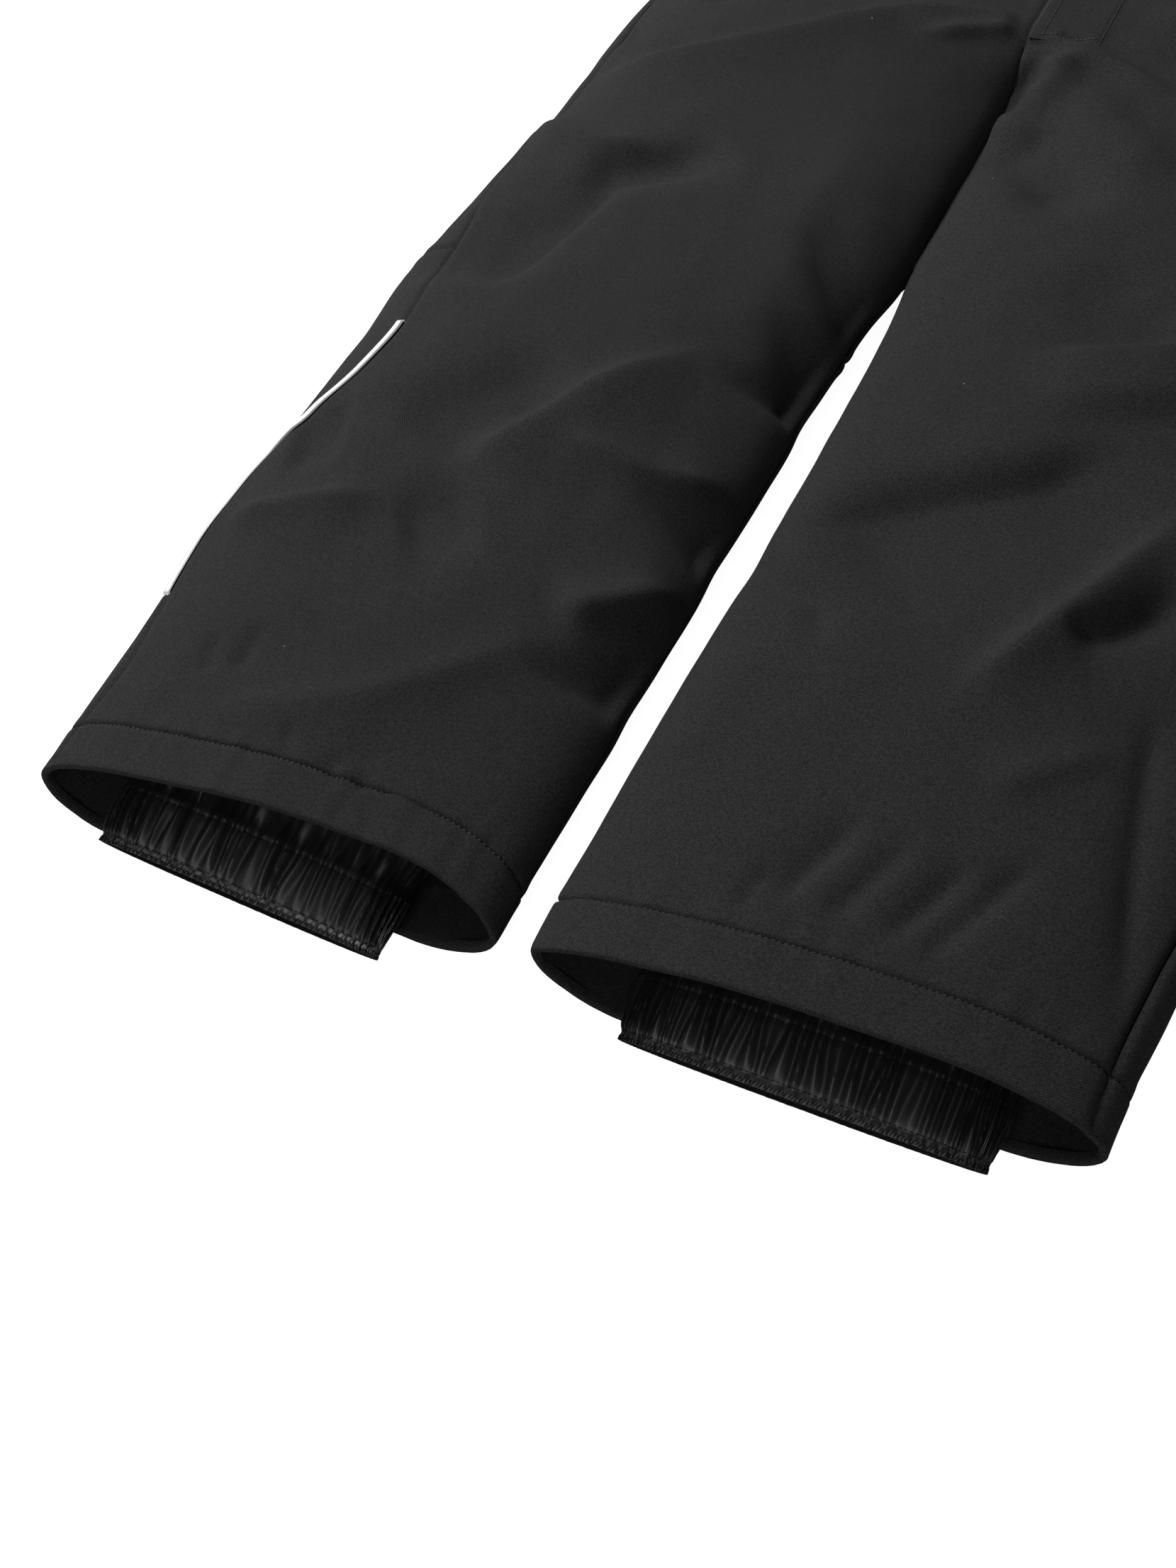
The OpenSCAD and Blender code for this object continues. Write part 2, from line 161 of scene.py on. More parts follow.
@dataclass(frozen=True)
class Fold:
    """A fold of the cloth: a ridge (or, with a negative height, a hollow) along a path."""

    path: Path
    height: float
    left: float
    right: float
    crisp: float = 0.2
    flare: float = 0.0

    def line(self) -> tuple[Array, Array, Array]:
        """Samples the path as a smooth curve.

        Returns:
            The points, their unit tangents and their shares of the length.
        """
        knots = np.array(self.path, float)
        ends = [2 * knots[0] - knots[1], *knots, 2 * knots[-1] - knots[-2]]
        p = np.array(ends)
        t = np.linspace(0, 1, 13)[:-1][:, None]
        parts = []
        for i in range(1, len(p) - 2):
            a, b, c, d = p[i - 1 : i + 3]
            cubic = 2 * b + (c - a) * t + (2 * a - 5 * b + 4 * c - d) * t**2
            parts.append(0.5 * (cubic + (3 * b - a - 3 * c + d) * t**3))
        points = np.concatenate([*parts, knots[-1:]])
        step = np.gradient(points, axis=0)
        tangent = step / np.linalg.norm(step, axis=1, keepdims=True)
        return points, tangent, np.linspace(0, 1, len(points))

    def lift(self, x: Array, y: Array) -> Array:
        """The fold's height at every point.

        Args:
            x: Garment X in millimetres.
            y: Garment Y in millimetres.

        Returns:
            Heights in millimetres along the cloth's normal.
        """
        points, tangent, share = self.line()
        reach = 4.5 * max(self.left, self.right)
        low, high = points.min(0) - reach, points.max(0) + reach
        near = (x > low[0]) & (x < high[0]) & (y > low[1]) & (y < high[1])
        out = np.zeros(x.shape)
        if not near.any():
            return out
        px, py = x[near], y[near]
        gap = (px[:, None] - points[:, 0]) ** 2 + (py[:, None] - points[:, 1]) ** 2
        best = gap.argmin(1)
        dx, dy = px - points[best, 0], py - points[best, 1]
        side = tangent[best, 0] * dy - tangent[best, 1] * dx
        ahead = tangent[best, 0] * dx + tangent[best, 1] * dy
        past = ((best == 0) & (ahead < 0)) | ((best == len(points) - 1) & (ahead > 0))
        length = np.linalg.norm(np.diff(points, axis=0), axis=1).sum()
        at = clamp01(share[best] + ahead / length)
        width = mix(self.right, self.left, smooth(side / 3 + 0.5)) * mix(1 - self.flare, 1, at)
        far = np.where(past, np.sqrt(gap.min(1)), np.abs(side)) / width
        soft = np.sqrt(far**2 + self.crisp**2) - self.crisp
        taper = smooth(at / 0.9) if self.flare else smooth(at / 0.3) * smooth((1 - at) / 0.3)
        out[near] = self.height * taper * np.exp(-1.35 * soft ** (1 + self.crisp))
        return out


# Every fold is drawn this much deeper than its table entry says
FOLD_DEPTH = 1.8
# Folds fade out towards the ground: the level and reach of the fade, and what is left below it
EDGE_LEVEL, EDGE_RISE, EDGE_LEAST = 16.0, 15.0, 0.1


def fold_lift(folds: Sequence[Fold], x: Array, y: Array) -> Array:
    """The summed height of several folds at every point."""
    total = np.zeros(x.shape)
    for fold in folds:
        total += FOLD_DEPTH * fold.lift(x, y)
    return total


def edge_weight(z: Array) -> Array:
    """How strongly folds show at a height of the plain surface."""
    return EDGE_LEAST + (1 - EDGE_LEAST) * smooth((z - EDGE_LEVEL) / EDGE_RISE)


RIGHT_FOLDS = (
    Fold(((-245, 578), (-200, 590), (-150, 620), (-100, 665), (-60, 700)), 5.0, 9, 30),
    Fold(((-250, 540), (-230, 510), (-190, 495), (-150, 503)), 4.0, 12, 18),
    Fold(((-196, 468), (-160, 480), (-115, 514)), -5.0, 14, 15, 0.6),
    Fold(((-170, 470), (-178, 420), (-196, 345)), -5.0, 7, 40),
    Fold(((-214, 440), (-212, 350)), -2.5, 20, 22, 0.8),
    Fold(((-55, 350), (-95, 290), (-120, 245), (-134, 218)), 5.0, 28, 10),
    Fold(((-112, 300), (-150, 262), (-172, 222)), -5.0, 20, 22, 0.7),
    Fold(((-62, 232), (-32, 227), (2, 224)), -5.2, 20, 17, 0.3, 0.7),
    Fold(((-105, 250), (-50, 246), (-12, 264)), 3.5, 12, 9),
    Fold(((-58, 330), (-30, 330), (2, 338)), -4.5, 26, 12, 0.3, 0.7),
    Fold(((-56, 148), (-34, 166), (-10, 196)), 5.0, 14, 11),
    Fold(((-64, 122), (-34, 122), (2, 132)), -5.6, 26, 15, 0.3, 0.7),
    Fold(((-238, 156), (-200, 170), (-155, 188)), 3.5, 9, 16),
    Fold(((-236, 214), (-204, 228)), -3.0, 16, 16, 0.8),
    Fold(((-146, 168), (-112, 194)), -3.0, 16, 18, 0.7),
    Fold(((-180, 42), (-120, 65), (-80, 100), (-46, 144)), 2.4, 12, 16),
    Fold(((-50, 575), (-49, 490), (-43, 400), (-46, 330)), 3.0, 32, 20, 0.5),
    Fold(((-50, 412), (-30, 380), (0, 350)), -4.2, 20, 16, 0.6, 0.45),
    Fold(((-52, 500), (-38, 446), (-6, 410)), -4.0, 20, 16, 0.6, 0.45),
    Fold(((-192, 88), (-180, 60)), -1.3, 4, 5),
    Fold(((-173, 98), (-168, 66)), -1.3, 4, 5),
    Fold(((-128, 50), (-118, 30)), -1.2, 4, 4),
    Fold(((-103, 44), (-92, 22)), -1.2, 4, 4),
    Fold(((-88, 40), (-72, 18)), -1.2, 4, 4),
    Fold(((-205, 706), (-188, 668)), -2.0, 6, 9),
    Fold(((-252, 660), (-226, 622), (-180, 612)), -2.0, 8, 8),
    Fold(((-4, 683), (-28, 676), (-66, 660)), 2.8, 4, 7),
    Fold(((-3, 688), (-36, 692), (-90, 684)), 2.2, 5, 7),
    Fold(((-20, 712), (-80, 730), (-150, 722)), 2.2, 12, 16),
    Fold(((-60, 800), (-120, 770), (-200, 776)), 2.0, 16, 18),
    Fold(((-240, 820), (-210, 770), (-216, 710)), -2.4, 12, 16, 0.5),
)

LEFT_FOLDS = (
    Fold(((23, 670), (26, 642), (18, 606)), 6.0, 11, 10, 0.6),
    Fold(((4, 668), (9, 645), (6, 612)), -5.2, 8, 7, 0.4),
    Fold(((2, 622), (14, 606), (36, 586)), 3.2, 8, 9),
    Fold(((8, 684), (50, 662), (108, 626)), 3.0, 6, 9),
    Fold(((4, 600), (40, 562), (86, 502)), -6.0, 18, 16, 0.6),
    Fold(((32, 646), (74, 588), (120, 540)), 2.6, 14, 14, 0.6),
    Fold(((126, 408), (138, 380), (150, 346)), 4.5, 22, 26, 0.8),
    Fold(((162, 336), (116, 292), (64, 264), (22, 236)), -7.0, 48, 13, 0.5),
    Fold(((190, 312), (166, 250), (145, 200), (121, 150)), 5.5, 20, 8),
    Fold(((198, 258), (174, 220), (152, 204)), -4.5, 12, 9),
    Fold(((8, 252), (20, 215), (50, 195), (62, 166)), -3.0, 9, 9),
    Fold(((30, 84), (28, 130), (34, 180)), 1.6, 12, 12, 0.6),
    Fold(((112, 96), (100, 62), (92, 40)), -2.6, 5, 10),
    Fold(((133, 92), (122, 60), (112, 38)), -1.8, 5, 7),
    Fold(((157, 88), (146, 60), (134, 36)), -2.4, 5, 9),
    Fold(((180, 98), (164, 64), (150, 34)), -2.2, 5, 9),
    Fold(((86, 62), (80, 30)), -1.0, 4, 4),
    Fold(((200, 190), (208, 130), (226, 34)), -2.2, 7, 8),
    Fold(((192, 158), (146, 116)), 1.8, 8, 10),
    Fold(((100, 470), (120, 430), (160, 420)), -2.0, 16, 20, 0.7),
    Fold(((240, 560), (190, 520), (130, 530)), 3.5, 12, 22),
    Fold(((244, 470), (200, 440), (170, 396)), 3.0, 12, 20),
    Fold(((60, 700), (110, 740), (180, 744)), 2.4, 12, 16),
    Fold(((70, 800), (130, 772), (205, 784)), 2.0, 16, 18),
    Fold(((238, 826), (212, 770), (218, 700)), -2.4, 16, 12, 0.5),
    Fold(((236, 640), (190, 620), (130, 640)), 2.6, 12, 20),
)

FOLDS = {Side.RIGHT: RIGHT_FOLDS, Side.LEFT: LEFT_FOLDS}
# How far the ground side of the hem is pulled up, by distance from the centre line
BACK_HEM_PULL = {
    Side.RIGHT: ((8, -1), (24, -4), (60, -2), (130, -1), (200, -5), (222, -4), (233, 0)),
    Side.LEFT: ((8, 0), (20, -4), (60, -5), (110, -1), (190, -1), (215, -3), (233, 0)),
}
# How far the outer edge stands from the plain outline, by station
OUTLINE = {
    Side.RIGHT: (
        (0, 0), (30, 4), (90, 4), (120, 3.5), (150, 5), (180, 3.5), (210, 1), (240, 0), (270, 2), (300, 4),
        (330, 7), (360, 12), (390, 13), (420, 12), (480, 10.5), (510, 7.5), (540, 5), (570, 6.5), (600, 8),
        (630, 10.5), (660, 11.5), (690, 11), (720, 9), (800, 4), (885, 0),
    ),
    Side.LEFT: (
        (0, 0), (60, 1), (150, 3), (260, -3), (335, -5), (400, 7), (480, 3), (600, -5), (700, 0), (760, 0),
    ),
}
# Angle of the side seam round the leg, by station
SEAM_TURN = {
    Side.RIGHT: (
        (0, 24), (25, 25), (60, 31), (100, 24), (120, 19), (215, 20), (240, 27), (262, 38), (300, 45),
        (345, 45), (400, 39), (470, 28),
    ),
    Side.LEFT: ((0, 24), (200, 21), (330, 27), (470, 24)),
}
# How each gaiter lies: its lean and its shift outwards
GAITER_LIE = {Side.RIGHT: (0.055, 3.0), Side.LEFT: (0.0, 0.0)}
# Distance of each leg's inner edge from the centre line, by station
INLINE = {
    Side.RIGHT: (
        (0, 8.2), (25, 8.8), (75, 9.4), (150, 8), (200, 7.4), (250, 9.5), (300, 9.2), (375, 8.2), (400, 7.4),
        (425, 6), (450, 3.2), (468, 0.6),
    ),
    Side.LEFT: (
        (0, 7.6), (25, 6.2), (50, 6.8), (100, 6), (150, 5.8), (200, 7.1), (250, 8.3), (300, 8), (375, 7),
        (400, 6.2), (425, 5), (450, 2.8), (468, 0.6),
    ),
}
# How far the front hem edge is pulled up, by distance from the centre line
HEM_PULL = {
    Side.RIGHT: ((8, 0), (20, 6), (50, 11), (100, 9), (180, 3), (233, 0)),
    Side.LEFT: ((8, -3), (60, -2), (120, 0.5), (200, 2), (233, 0)),
}


def eased_table(at: Array, table: Path) -> Array:
    """Reads a table of pairs, its corners rounded off."""
    spots, values = zip(*table)
    steps = (-14, -7, 0, 7, 14)
    return sum(np.interp(at + step, spots, values) for step in steps) / len(steps)


@dataclass(frozen=True)
class LegForm:
    """The trousers' outline and cross-sections, in millimetres from the hem line."""

    inseam: float = 680.0
    knee: float = 393.0
    band_low: float = 885.0
    front_top: float = 925.0
    back_top: float = 960.0
    back_rise: float = 35.0
    hem_half: float = 233.0
    leg_half: float = 252.0
    waist_half: float = 188.0
    hip: float = 760.0
    hem_gap: float = 16.4
    body_gap: float = 0.6
    closed_gap: float = 440.0
    hem_height: float = 46.0
    leg_height: float = 54.0
    fold_height: float = 18.0
    overshoot: float = 4.0
    front_turn: float = 2.3
    crown_turn: float = 2.2
    seam_angle: float = 24.0
    crotch_fade: tuple[float, float] = (635.0, 688.0)

    def outer(self, y: Array, side: Optional[Side] = None) -> Array:
        """Distance of the outer edge from the centre line at station y."""
        flare = (self.leg_half - self.hem_half) * smooth(y / 220)
        waist = (self.leg_half - self.waist_half) * smooth((y - self.hip) / (self.back_top - self.hip))
        edge = self.hem_half + flare - waist
        if side is not None:
            edge = edge + eased_table(y, OUTLINE[side])
        return edge

    def inner(self, y: Array, side: Optional[Side] = None) -> Array:
        """Distance of the inner edge from the centre line at station y."""
        if side is None:
            return mix(self.hem_gap / 2, self.body_gap, clamp01(y / self.closed_gap))
        return eased_table(y, INLINE[side])

    def crown(self, y: Array) -> Array:
        """Height of the stuffed leg at station y."""
        return mix(self.hem_height, self.leg_height, smooth(y / 300))

    def apart(self, y: Array) -> Array:
        """1 where the legs are separate tubes, 0 where they have joined."""
        low, high = self.crotch_fade
        return 1 - smooth((y - low) / (high - low))

    def rise(self, y: Array, angle: Array) -> Array:
        """How far the waist edge climbs from the front to the back."""
        share = smooth((y - self.inseam - 20) / (self.front_top - self.inseam - 20))
        near = np.maximum(0, np.cos(angle)) ** 3 / 2
        return self.back_rise * share * np.where(angle > 0, near, 1 - near)

    def point(self, y: Array, angle: Array, depth: Array, side: Optional[Side] = None) -> Array:
        """Points of the left leg and hip, mirrored for the right side.

        Args:
            y: Stations along the leg.
            angle: Angles in radians, 0 at the outer edge and 90 degrees at the crown.
            depth: Distance below the outer surface.
            side: The side whose own outline is used; None gives the plain outline.

        Returns:
            Points in garment millimetres.
        """
        inner, outer = self.inner(y, side), self.outer(y, side)
        half = (outer - inner) / 2
        c, s = np.cos(angle), np.abs(np.sin(angle))
        tube = np.where(c < 0, self.apart(y), 1.0)
        lift = mix(1.0, s ** (2 / self.crown_turn), tube)
        x = (outer + inner) / 2 + (half - depth * tube) * signed_power(c, 2 / self.front_turn)
        fold = self.fold_height
        top = fold + (self.crown(y) - fold - depth) * lift
        low = np.maximum(depth, fold - (fold + self.overshoot - depth) * lift)
        sign = side.sign if side else 1.0
        return np.stack([x * sign, y + self.rise(y, angle), np.where(angle > 0, top, low)], -1)


FORM = LegForm()
HEM_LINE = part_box("left_front_shin_panel")[0].y


def to_row(points: Array) -> Array:
    """Garment millimetres to metres in the row frame."""
    return points * MM + np.array([0.0, HEM_LINE, 0.0])


def row_point(x: float, y: float, z: float) -> tuple[float, float, float]:
    """One garment point, in millimetres, in the row frame."""
    return tuple(float(v) for v in to_row(np.array([x, y, z], float)))


@dataclass
class Grid:
    """A grid of cloth points: rows run along the leg and columns across it."""

    points: Array
    sign: float
    ring: bool = False
    across: Array = field(default_factory=lambda: np.zeros(0))
    along: Array = field(default_factory=lambda: np.zeros(0))
    curl: int = 0

    def __post_init__(self) -> None:
        """Measures the cloth's own coordinates once, before it is shaped."""
        if not self.across.size:
            step = np.linalg.norm(np.diff(self.points, axis=1), axis=2)
            start = np.zeros((len(self.points), 1))
            self.across = np.concatenate([start, np.cumsum(step, axis=1)], axis=1)
            step = np.linalg.norm(np.diff(self.points, axis=0), axis=2)
            self.along = np.concatenate([np.zeros((1, self.points.shape[1])), np.cumsum(step, axis=0)])

    def normals(self) -> Array:
        """Unit normals that point out of the leg."""
        p = self.points[self.curl :]
        if self.ring:
            wrapped = np.concatenate([p[:, -1:], p, p[:, :1]], axis=1)
            d_col = np.gradient(wrapped, axis=1)[:, 1:-1]
        else:
            d_col = np.gradient(p, axis=1)
        n = self.sign * np.cross(np.gradient(p, axis=0), d_col)
        n = n / np.maximum(np.linalg.norm(n, axis=2, keepdims=True), 1e-9)
        return np.concatenate([np.repeat(n[:1], self.curl, axis=0), n])

    def raise_by(self, height: Array) -> None:
        """Moves the points along their normals."""
        self.points = self.points + self.normals() * np.asarray(height)[..., None]

    def part(self, rows: slice, columns: slice) -> "Grid":
        """A rectangular part of the grid, with the same cloth coordinates."""
        cut = (rows, columns)
        return Grid(self.points[cut].copy(), self.sign, False, self.across[cut], self.along[cut])


def finish_object(
    name: str, verts: Array, faces: list, uvs: Optional[Array], look: bpy.types.Material
) -> bpy.types.Object:
    """Makes a mesh object at the origin.

    Args:
        name: The piece's name.
        verts: Points in metres, in the row frame.
        faces: Vertex indices of each face.
        uvs: One UV pair per vertex, or None.
        look: The piece's material.

    Returns:
        The new object, smooth shaded.
    """
    mesh = bpy.data.meshes.new(name)
    mesh.from_pydata(verts.tolist(), [], faces)
    if uvs is not None:
        layer = mesh.uv_layers.new(name="cloth")
        index = np.zeros(len(mesh.loops), np.int32)
        mesh.loops.foreach_get("vertex_index", index)
        layer.data.foreach_set("uv", uvs[index].astype(np.float32).ravel())
    mesh.materials.append(look)
    mesh.validate()
    mesh.polygons.foreach_set("use_smooth", np.ones(len(mesh.polygons), bool))
    mesh.set_sharp_from_angle(angle=math.radians(62))
    piece = bpy.data.objects.new(name, mesh)
    bpy.context.scene.collection.objects.link(piece)
    return piece


def cloth_piece(
    name: str, grid: Grid, thick: float, look: bpy.types.Material, drop: Optional[Array] = None
) -> bpy.types.Object:
    """Makes a closed sheet of cloth from a grid.

    Args:
        name: The piece's name.
        grid: The outer face, in garment millimetres.
        thick: Thickness in millimetres, laid inwards.
        look: The cloth's material.
        drop: Mask of the grid cells to leave out, or None.

    Returns:
        The new object.
    """
    rows, columns = grid.points.shape[:2]
    count = rows * columns
    outer = grid.points.reshape(-1, 3)
    inner = (grid.points - grid.normals() * thick).reshape(-1, 3)
    inner[:, 2] = np.maximum(inner[:, 2], 0.05)
    last = columns if grid.ring else columns - 1
    r, c = np.meshgrid(np.arange(rows - 1), np.arange(last), indexing="ij")
    a = r * columns + c
    b = r * columns + (c + 1) % columns
    quads = np.stack([a, a + columns, b + columns, b], -1)
    if grid.sign < 0:
        quads = quads[..., ::-1]
    if drop is not None:
        quads = quads[~drop[: rows - 1, :last]]
    quads = quads.reshape(-1, 4)
    edges = np.stack([quads, np.roll(quads, -1, axis=1)], -1).reshape(-1, 2)
    key = np.sort(edges, axis=1)
    _, where, uses = np.unique(key, axis=0, return_index=True, return_counts=True)
    rim = edges[where[uses == 1]]
    walls = np.stack([rim[:, 1], rim[:, 0], rim[:, 0] + count, rim[:, 1] + count], -1)
    faces = np.concatenate([quads, quads[:, ::-1] + count, walls])
    uv = np.stack([grid.across, grid.along], -1).reshape(-1, 2) * MM
    verts = to_row(np.concatenate([outer, inner]))
    return finish_object(name, verts, faces.tolist(), np.concatenate([uv, uv]), look)


@dataclass(frozen=True)
class StitchRow:
    """A row of sewing stitches that lies on a path."""

    pitch: float = 2.6
    length: float = 1.95
    width: float = 0.85
    height: float = 0.6
    slant: float = 0.0
    sink: float = -0.05

    def build(
        self, name: str, lines: Sequence[tuple[Array, Array]], look: bpy.types.Material
    ) -> bpy.types.Object:
        """Lays the stitches along one or more lines.

        Args:
            name: The piece's name.
            lines: Pairs of points and normals in garment millimetres.
            look: The thread's material.

        Returns:
            The stitches as one object.
        """
        sides, rings = 6, ((-0.5, 0.0), (-0.36, 0.8), (0.0, 1.0), (0.36, 0.8), (0.5, 0.0))
        turn = np.arange(sides) * FULL_TURN / sides
        verts, faces = [], []
        for points, normals in lines:
            length = np.concatenate([[0], np.cumsum(np.linalg.norm(np.diff(points, axis=0), axis=1))])
            at = np.arange(self.pitch / 2, length[-1], self.pitch)
            if not len(at):
                continue
            centre = np.stack([np.interp(at, length, points[:, k]) for k in range(3)], -1)
            ahead = np.stack([np.interp(at + 0.6, length, points[:, k]) for k in range(3)], -1)
            behind = np.stack([np.interp(at - 0.6, length, points[:, k]) for k in range(3)], -1)
            up = np.stack([np.interp(at, length, normals[:, k]) for k in range(3)], -1)
            up /= np.linalg.norm(up, axis=1, keepdims=True)
            run = ahead - behind
            run /= np.linalg.norm(run, axis=1, keepdims=True)
            cross = np.cross(up, run)
            run = run * math.cos(self.slant) + cross * math.sin(self.slant)
            cross = np.cross(up, run)
            for k in range(len(at)):
                first = len(verts)
                base = centre[k] + up[k] * (self.height * 0.3 - self.sink)
                for share, swell in rings:
                    spots = 1 if swell == 0 else sides
                    for j in range(spots):
                        off = cross[k] * math.cos(turn[j]) * self.width / 2 * swell
                        off = off + up[k] * math.sin(turn[j]) * self.height / 2 * swell
                        dip = up[k] * (0 if swell else self.height * 0.35)
                        verts.append(base + run[k] * share * self.length + off - dip)
                ring_at = [first + 1 + i * sides for i in range(3)]
                tip = first + 1 + 3 * sides
                for j in range(sides):
                    n = (j + 1) % sides
                    faces.append((first, ring_at[0] + n, ring_at[0] + j))
                    for lower, upper in zip(ring_at, ring_at[1:]):
                        faces.append((lower + j, lower + n, upper + n, upper + j))
                    faces.append((ring_at[2] + j, ring_at[2] + n, tip))
        return finish_object(name, to_row(np.array(verts)), faces, None, look)


# ------------------------------------------------------------------ materials


class Nodes:
    """A small hand for building node trees."""

    def __init__(self, tree: bpy.types.NodeTree) -> None:
        """Keeps the tree that nodes are added to."""
        self.tree = tree

    def add(self, kind: str, settings: Optional[dict] = None, **inputs: object) -> bpy.types.Node:
        """Adds a node, sets its properties and links or sets its inputs.

        Args:
            kind: The node's Blender type.
            settings: Properties of the node.
            inputs: Sockets or values by input name, with underscores for spaces.

        Returns:
            The node.
        """
        node = self.tree.nodes.new(kind)
        for key, value in (settings or {}).items():
            setattr(node, key, value)
        for key, value in inputs.items():
            socket = node.inputs[int(key[1:])] if key[1:].isdigit() else node.inputs[key.replace("_", " ")]
            self.feed(socket, value)
        return node

    def feed(self, socket: bpy.types.NodeSocket, value: object) -> None:
        """Links a socket or sets its value."""
        if isinstance(value, bpy.types.NodeSocket):
            self.tree.links.new(value, socket)
        else:
            socket.default_value = value

    def math(self, operation: str, *values: object) -> bpy.types.NodeSocket:
        """A Math node's result."""
        node = self.add("ShaderNodeMath", {"operation": operation})
        for socket, value in zip(node.inputs, values):
            self.feed(socket, value)
        return node.outputs[0]

    def spread(
        self, value: object, low: float, high: float, to_low: float, to_high: float
    ) -> bpy.types.NodeSocket:
        """Maps a value from one span to another, with its ends held."""
        node = self.add("ShaderNodeMapRange", {"clamp": True})
        for socket, item in zip(node.inputs, (value, low, high, to_low, to_high)):
            self.feed(socket, item)
        return node.outputs[0]

    def blend(self, share: object, first: object, second: object) -> bpy.types.NodeSocket:
        """A colour between two colours."""
        node = self.add("ShaderNodeMix", {"data_type": "RGBA"})
        self.feed(node.inputs[0], share)
        self.feed(node.inputs[6], first)
        self.feed(node.inputs[7], second)
        return node.outputs[2]


def new_group(
    name: str, takes: Sequence[str], gives: Sequence[str]
) -> tuple[bpy.types.NodeTree, Nodes, dict, bpy.types.Node]:
    """Starts a shader node group.

    Args:
        name: The group's name.
        takes: Names of its float inputs; "Vector" is a vector.
        gives: Names of its float outputs.

    Returns:
        The tree, its builder, its inputs by name and its output node.
    """
    tree = bpy.data.node_groups.new(name, "ShaderNodeTree")
    for item in takes:
        kind = "NodeSocketVector" if item == "Vector" else "NodeSocketFloat"
        tree.interface.new_socket(item, in_out="INPUT", socket_type=kind)
    for item in gives:
        tree.interface.new_socket(item, in_out="OUTPUT", socket_type="NodeSocketFloat")
    enter = tree.nodes.new("NodeGroupInput")
    leave = tree.nodes.new("NodeGroupOutput")
    return tree, Nodes(tree), {item: enter.outputs[item] for item in takes}, leave


class ClothEffects:
    """Node groups that several materials share."""

    def __init__(self) -> None:
        """Builds each group once."""
        self.weave = self._weave()
        self.mottle = self._mottle()
        self.lint = self._lint()

    def _weave(self) -> bpy.types.NodeTree:
        """Over-and-under threads: a height, and a mask of the raised ones that the cloth materials use for
        painted light and shade.
        """
        tree, n, take, leave = new_group("woven_threads", ("Vector", "Pitch", "Twill"), ("Height", "Raised"))
        parts = n.add("ShaderNodeSeparateXYZ", Vector=take["Vector"])
        u = n.math("DIVIDE", parts.outputs[0], take["Pitch"])
        v = n.math("DIVIDE", parts.outputs[1], take["Pitch"])
        warp = n.math("SINE", n.math("MULTIPLY", u, FULL_TURN))
        weft = n.math("SINE", n.math("MULTIPLY", v, FULL_TURN))
        plain = n.math("MULTIPLY", warp, weft)
        slant = n.math("MULTIPLY", n.math("ADD", u, v), math.pi)
        twill = n.math("MULTIPLY", n.math("SINE", slant), take["Twill"])
        grain = n.add("ShaderNodeTexNoise", Vector=take["Vector"], Scale=2600.0, Detail=2.0)
        uneven = n.spread(grain.outputs[0], 0.3, 0.7, -0.9, 0.9)
        height = n.math("ADD", n.math("ADD", plain, twill), uneven)
        n.feed(leave.inputs["Height"], height)
        n.feed(leave.inputs["Raised"], n.spread(height, -1.2, 1.6, 0.0, 1.0))
        return tree

    def _mottle(self) -> bpy.types.NodeTree:
        """Slow and quick unevenness of a dyed cloth, as masks about 0.5."""
        tree, n, take, leave = new_group("dye_mottle", ("Vector", "Size"), ("Slow", "Quick"))
        slow = n.math("DIVIDE", 1.0, take["Size"])
        a = n.add("ShaderNodeTexNoise", Vector=take["Vector"], Scale=slow, Detail=3.0)
        fine = n.math("MULTIPLY", slow, 90.0)
        b = n.add("ShaderNodeTexNoise", Vector=take["Vector"], Scale=fine, Detail=3.0)
        n.feed(leave.inputs["Slow"], n.spread(a.outputs[0], 0.3, 0.7, 0.0, 1.0))
        n.feed(leave.inputs["Quick"], n.spread(b.outputs[0], 0.34, 0.66, 0.0, 1.0))
        return tree

    def _lint(self) -> bpy.types.NodeTree:
        """Sparse specks of lint, as a mask."""
        tree, n, take, leave = new_group("lint_specks", ("Vector", "Spacing", "Speck"), ("Mask",))
        scale = n.math("DIVIDE", 1.0, take["Spacing"])
        cells = n.add("ShaderNodeTexVoronoi", Vector=take["Vector"], Scale=scale)
        size = n.math("MULTIPLY", take["Speck"], scale)
        near = n.math("LESS_THAN", cells.outputs["Distance"], size)
        shade = n.add("ShaderNodeSeparateColor", Color=cells.outputs["Color"])
        few = n.math("GREATER_THAN", shade.outputs[0], 0.8)
        n.feed(leave.inputs["Mask"], n.math("MULTIPLY", near, few))
        return tree


def grey(level: float, warm: float = 0.0) -> tuple[float, float, float, float]:
    """A near-neutral colour."""
    return (level * (1 + warm), level, level * (1 - warm), 1.0)


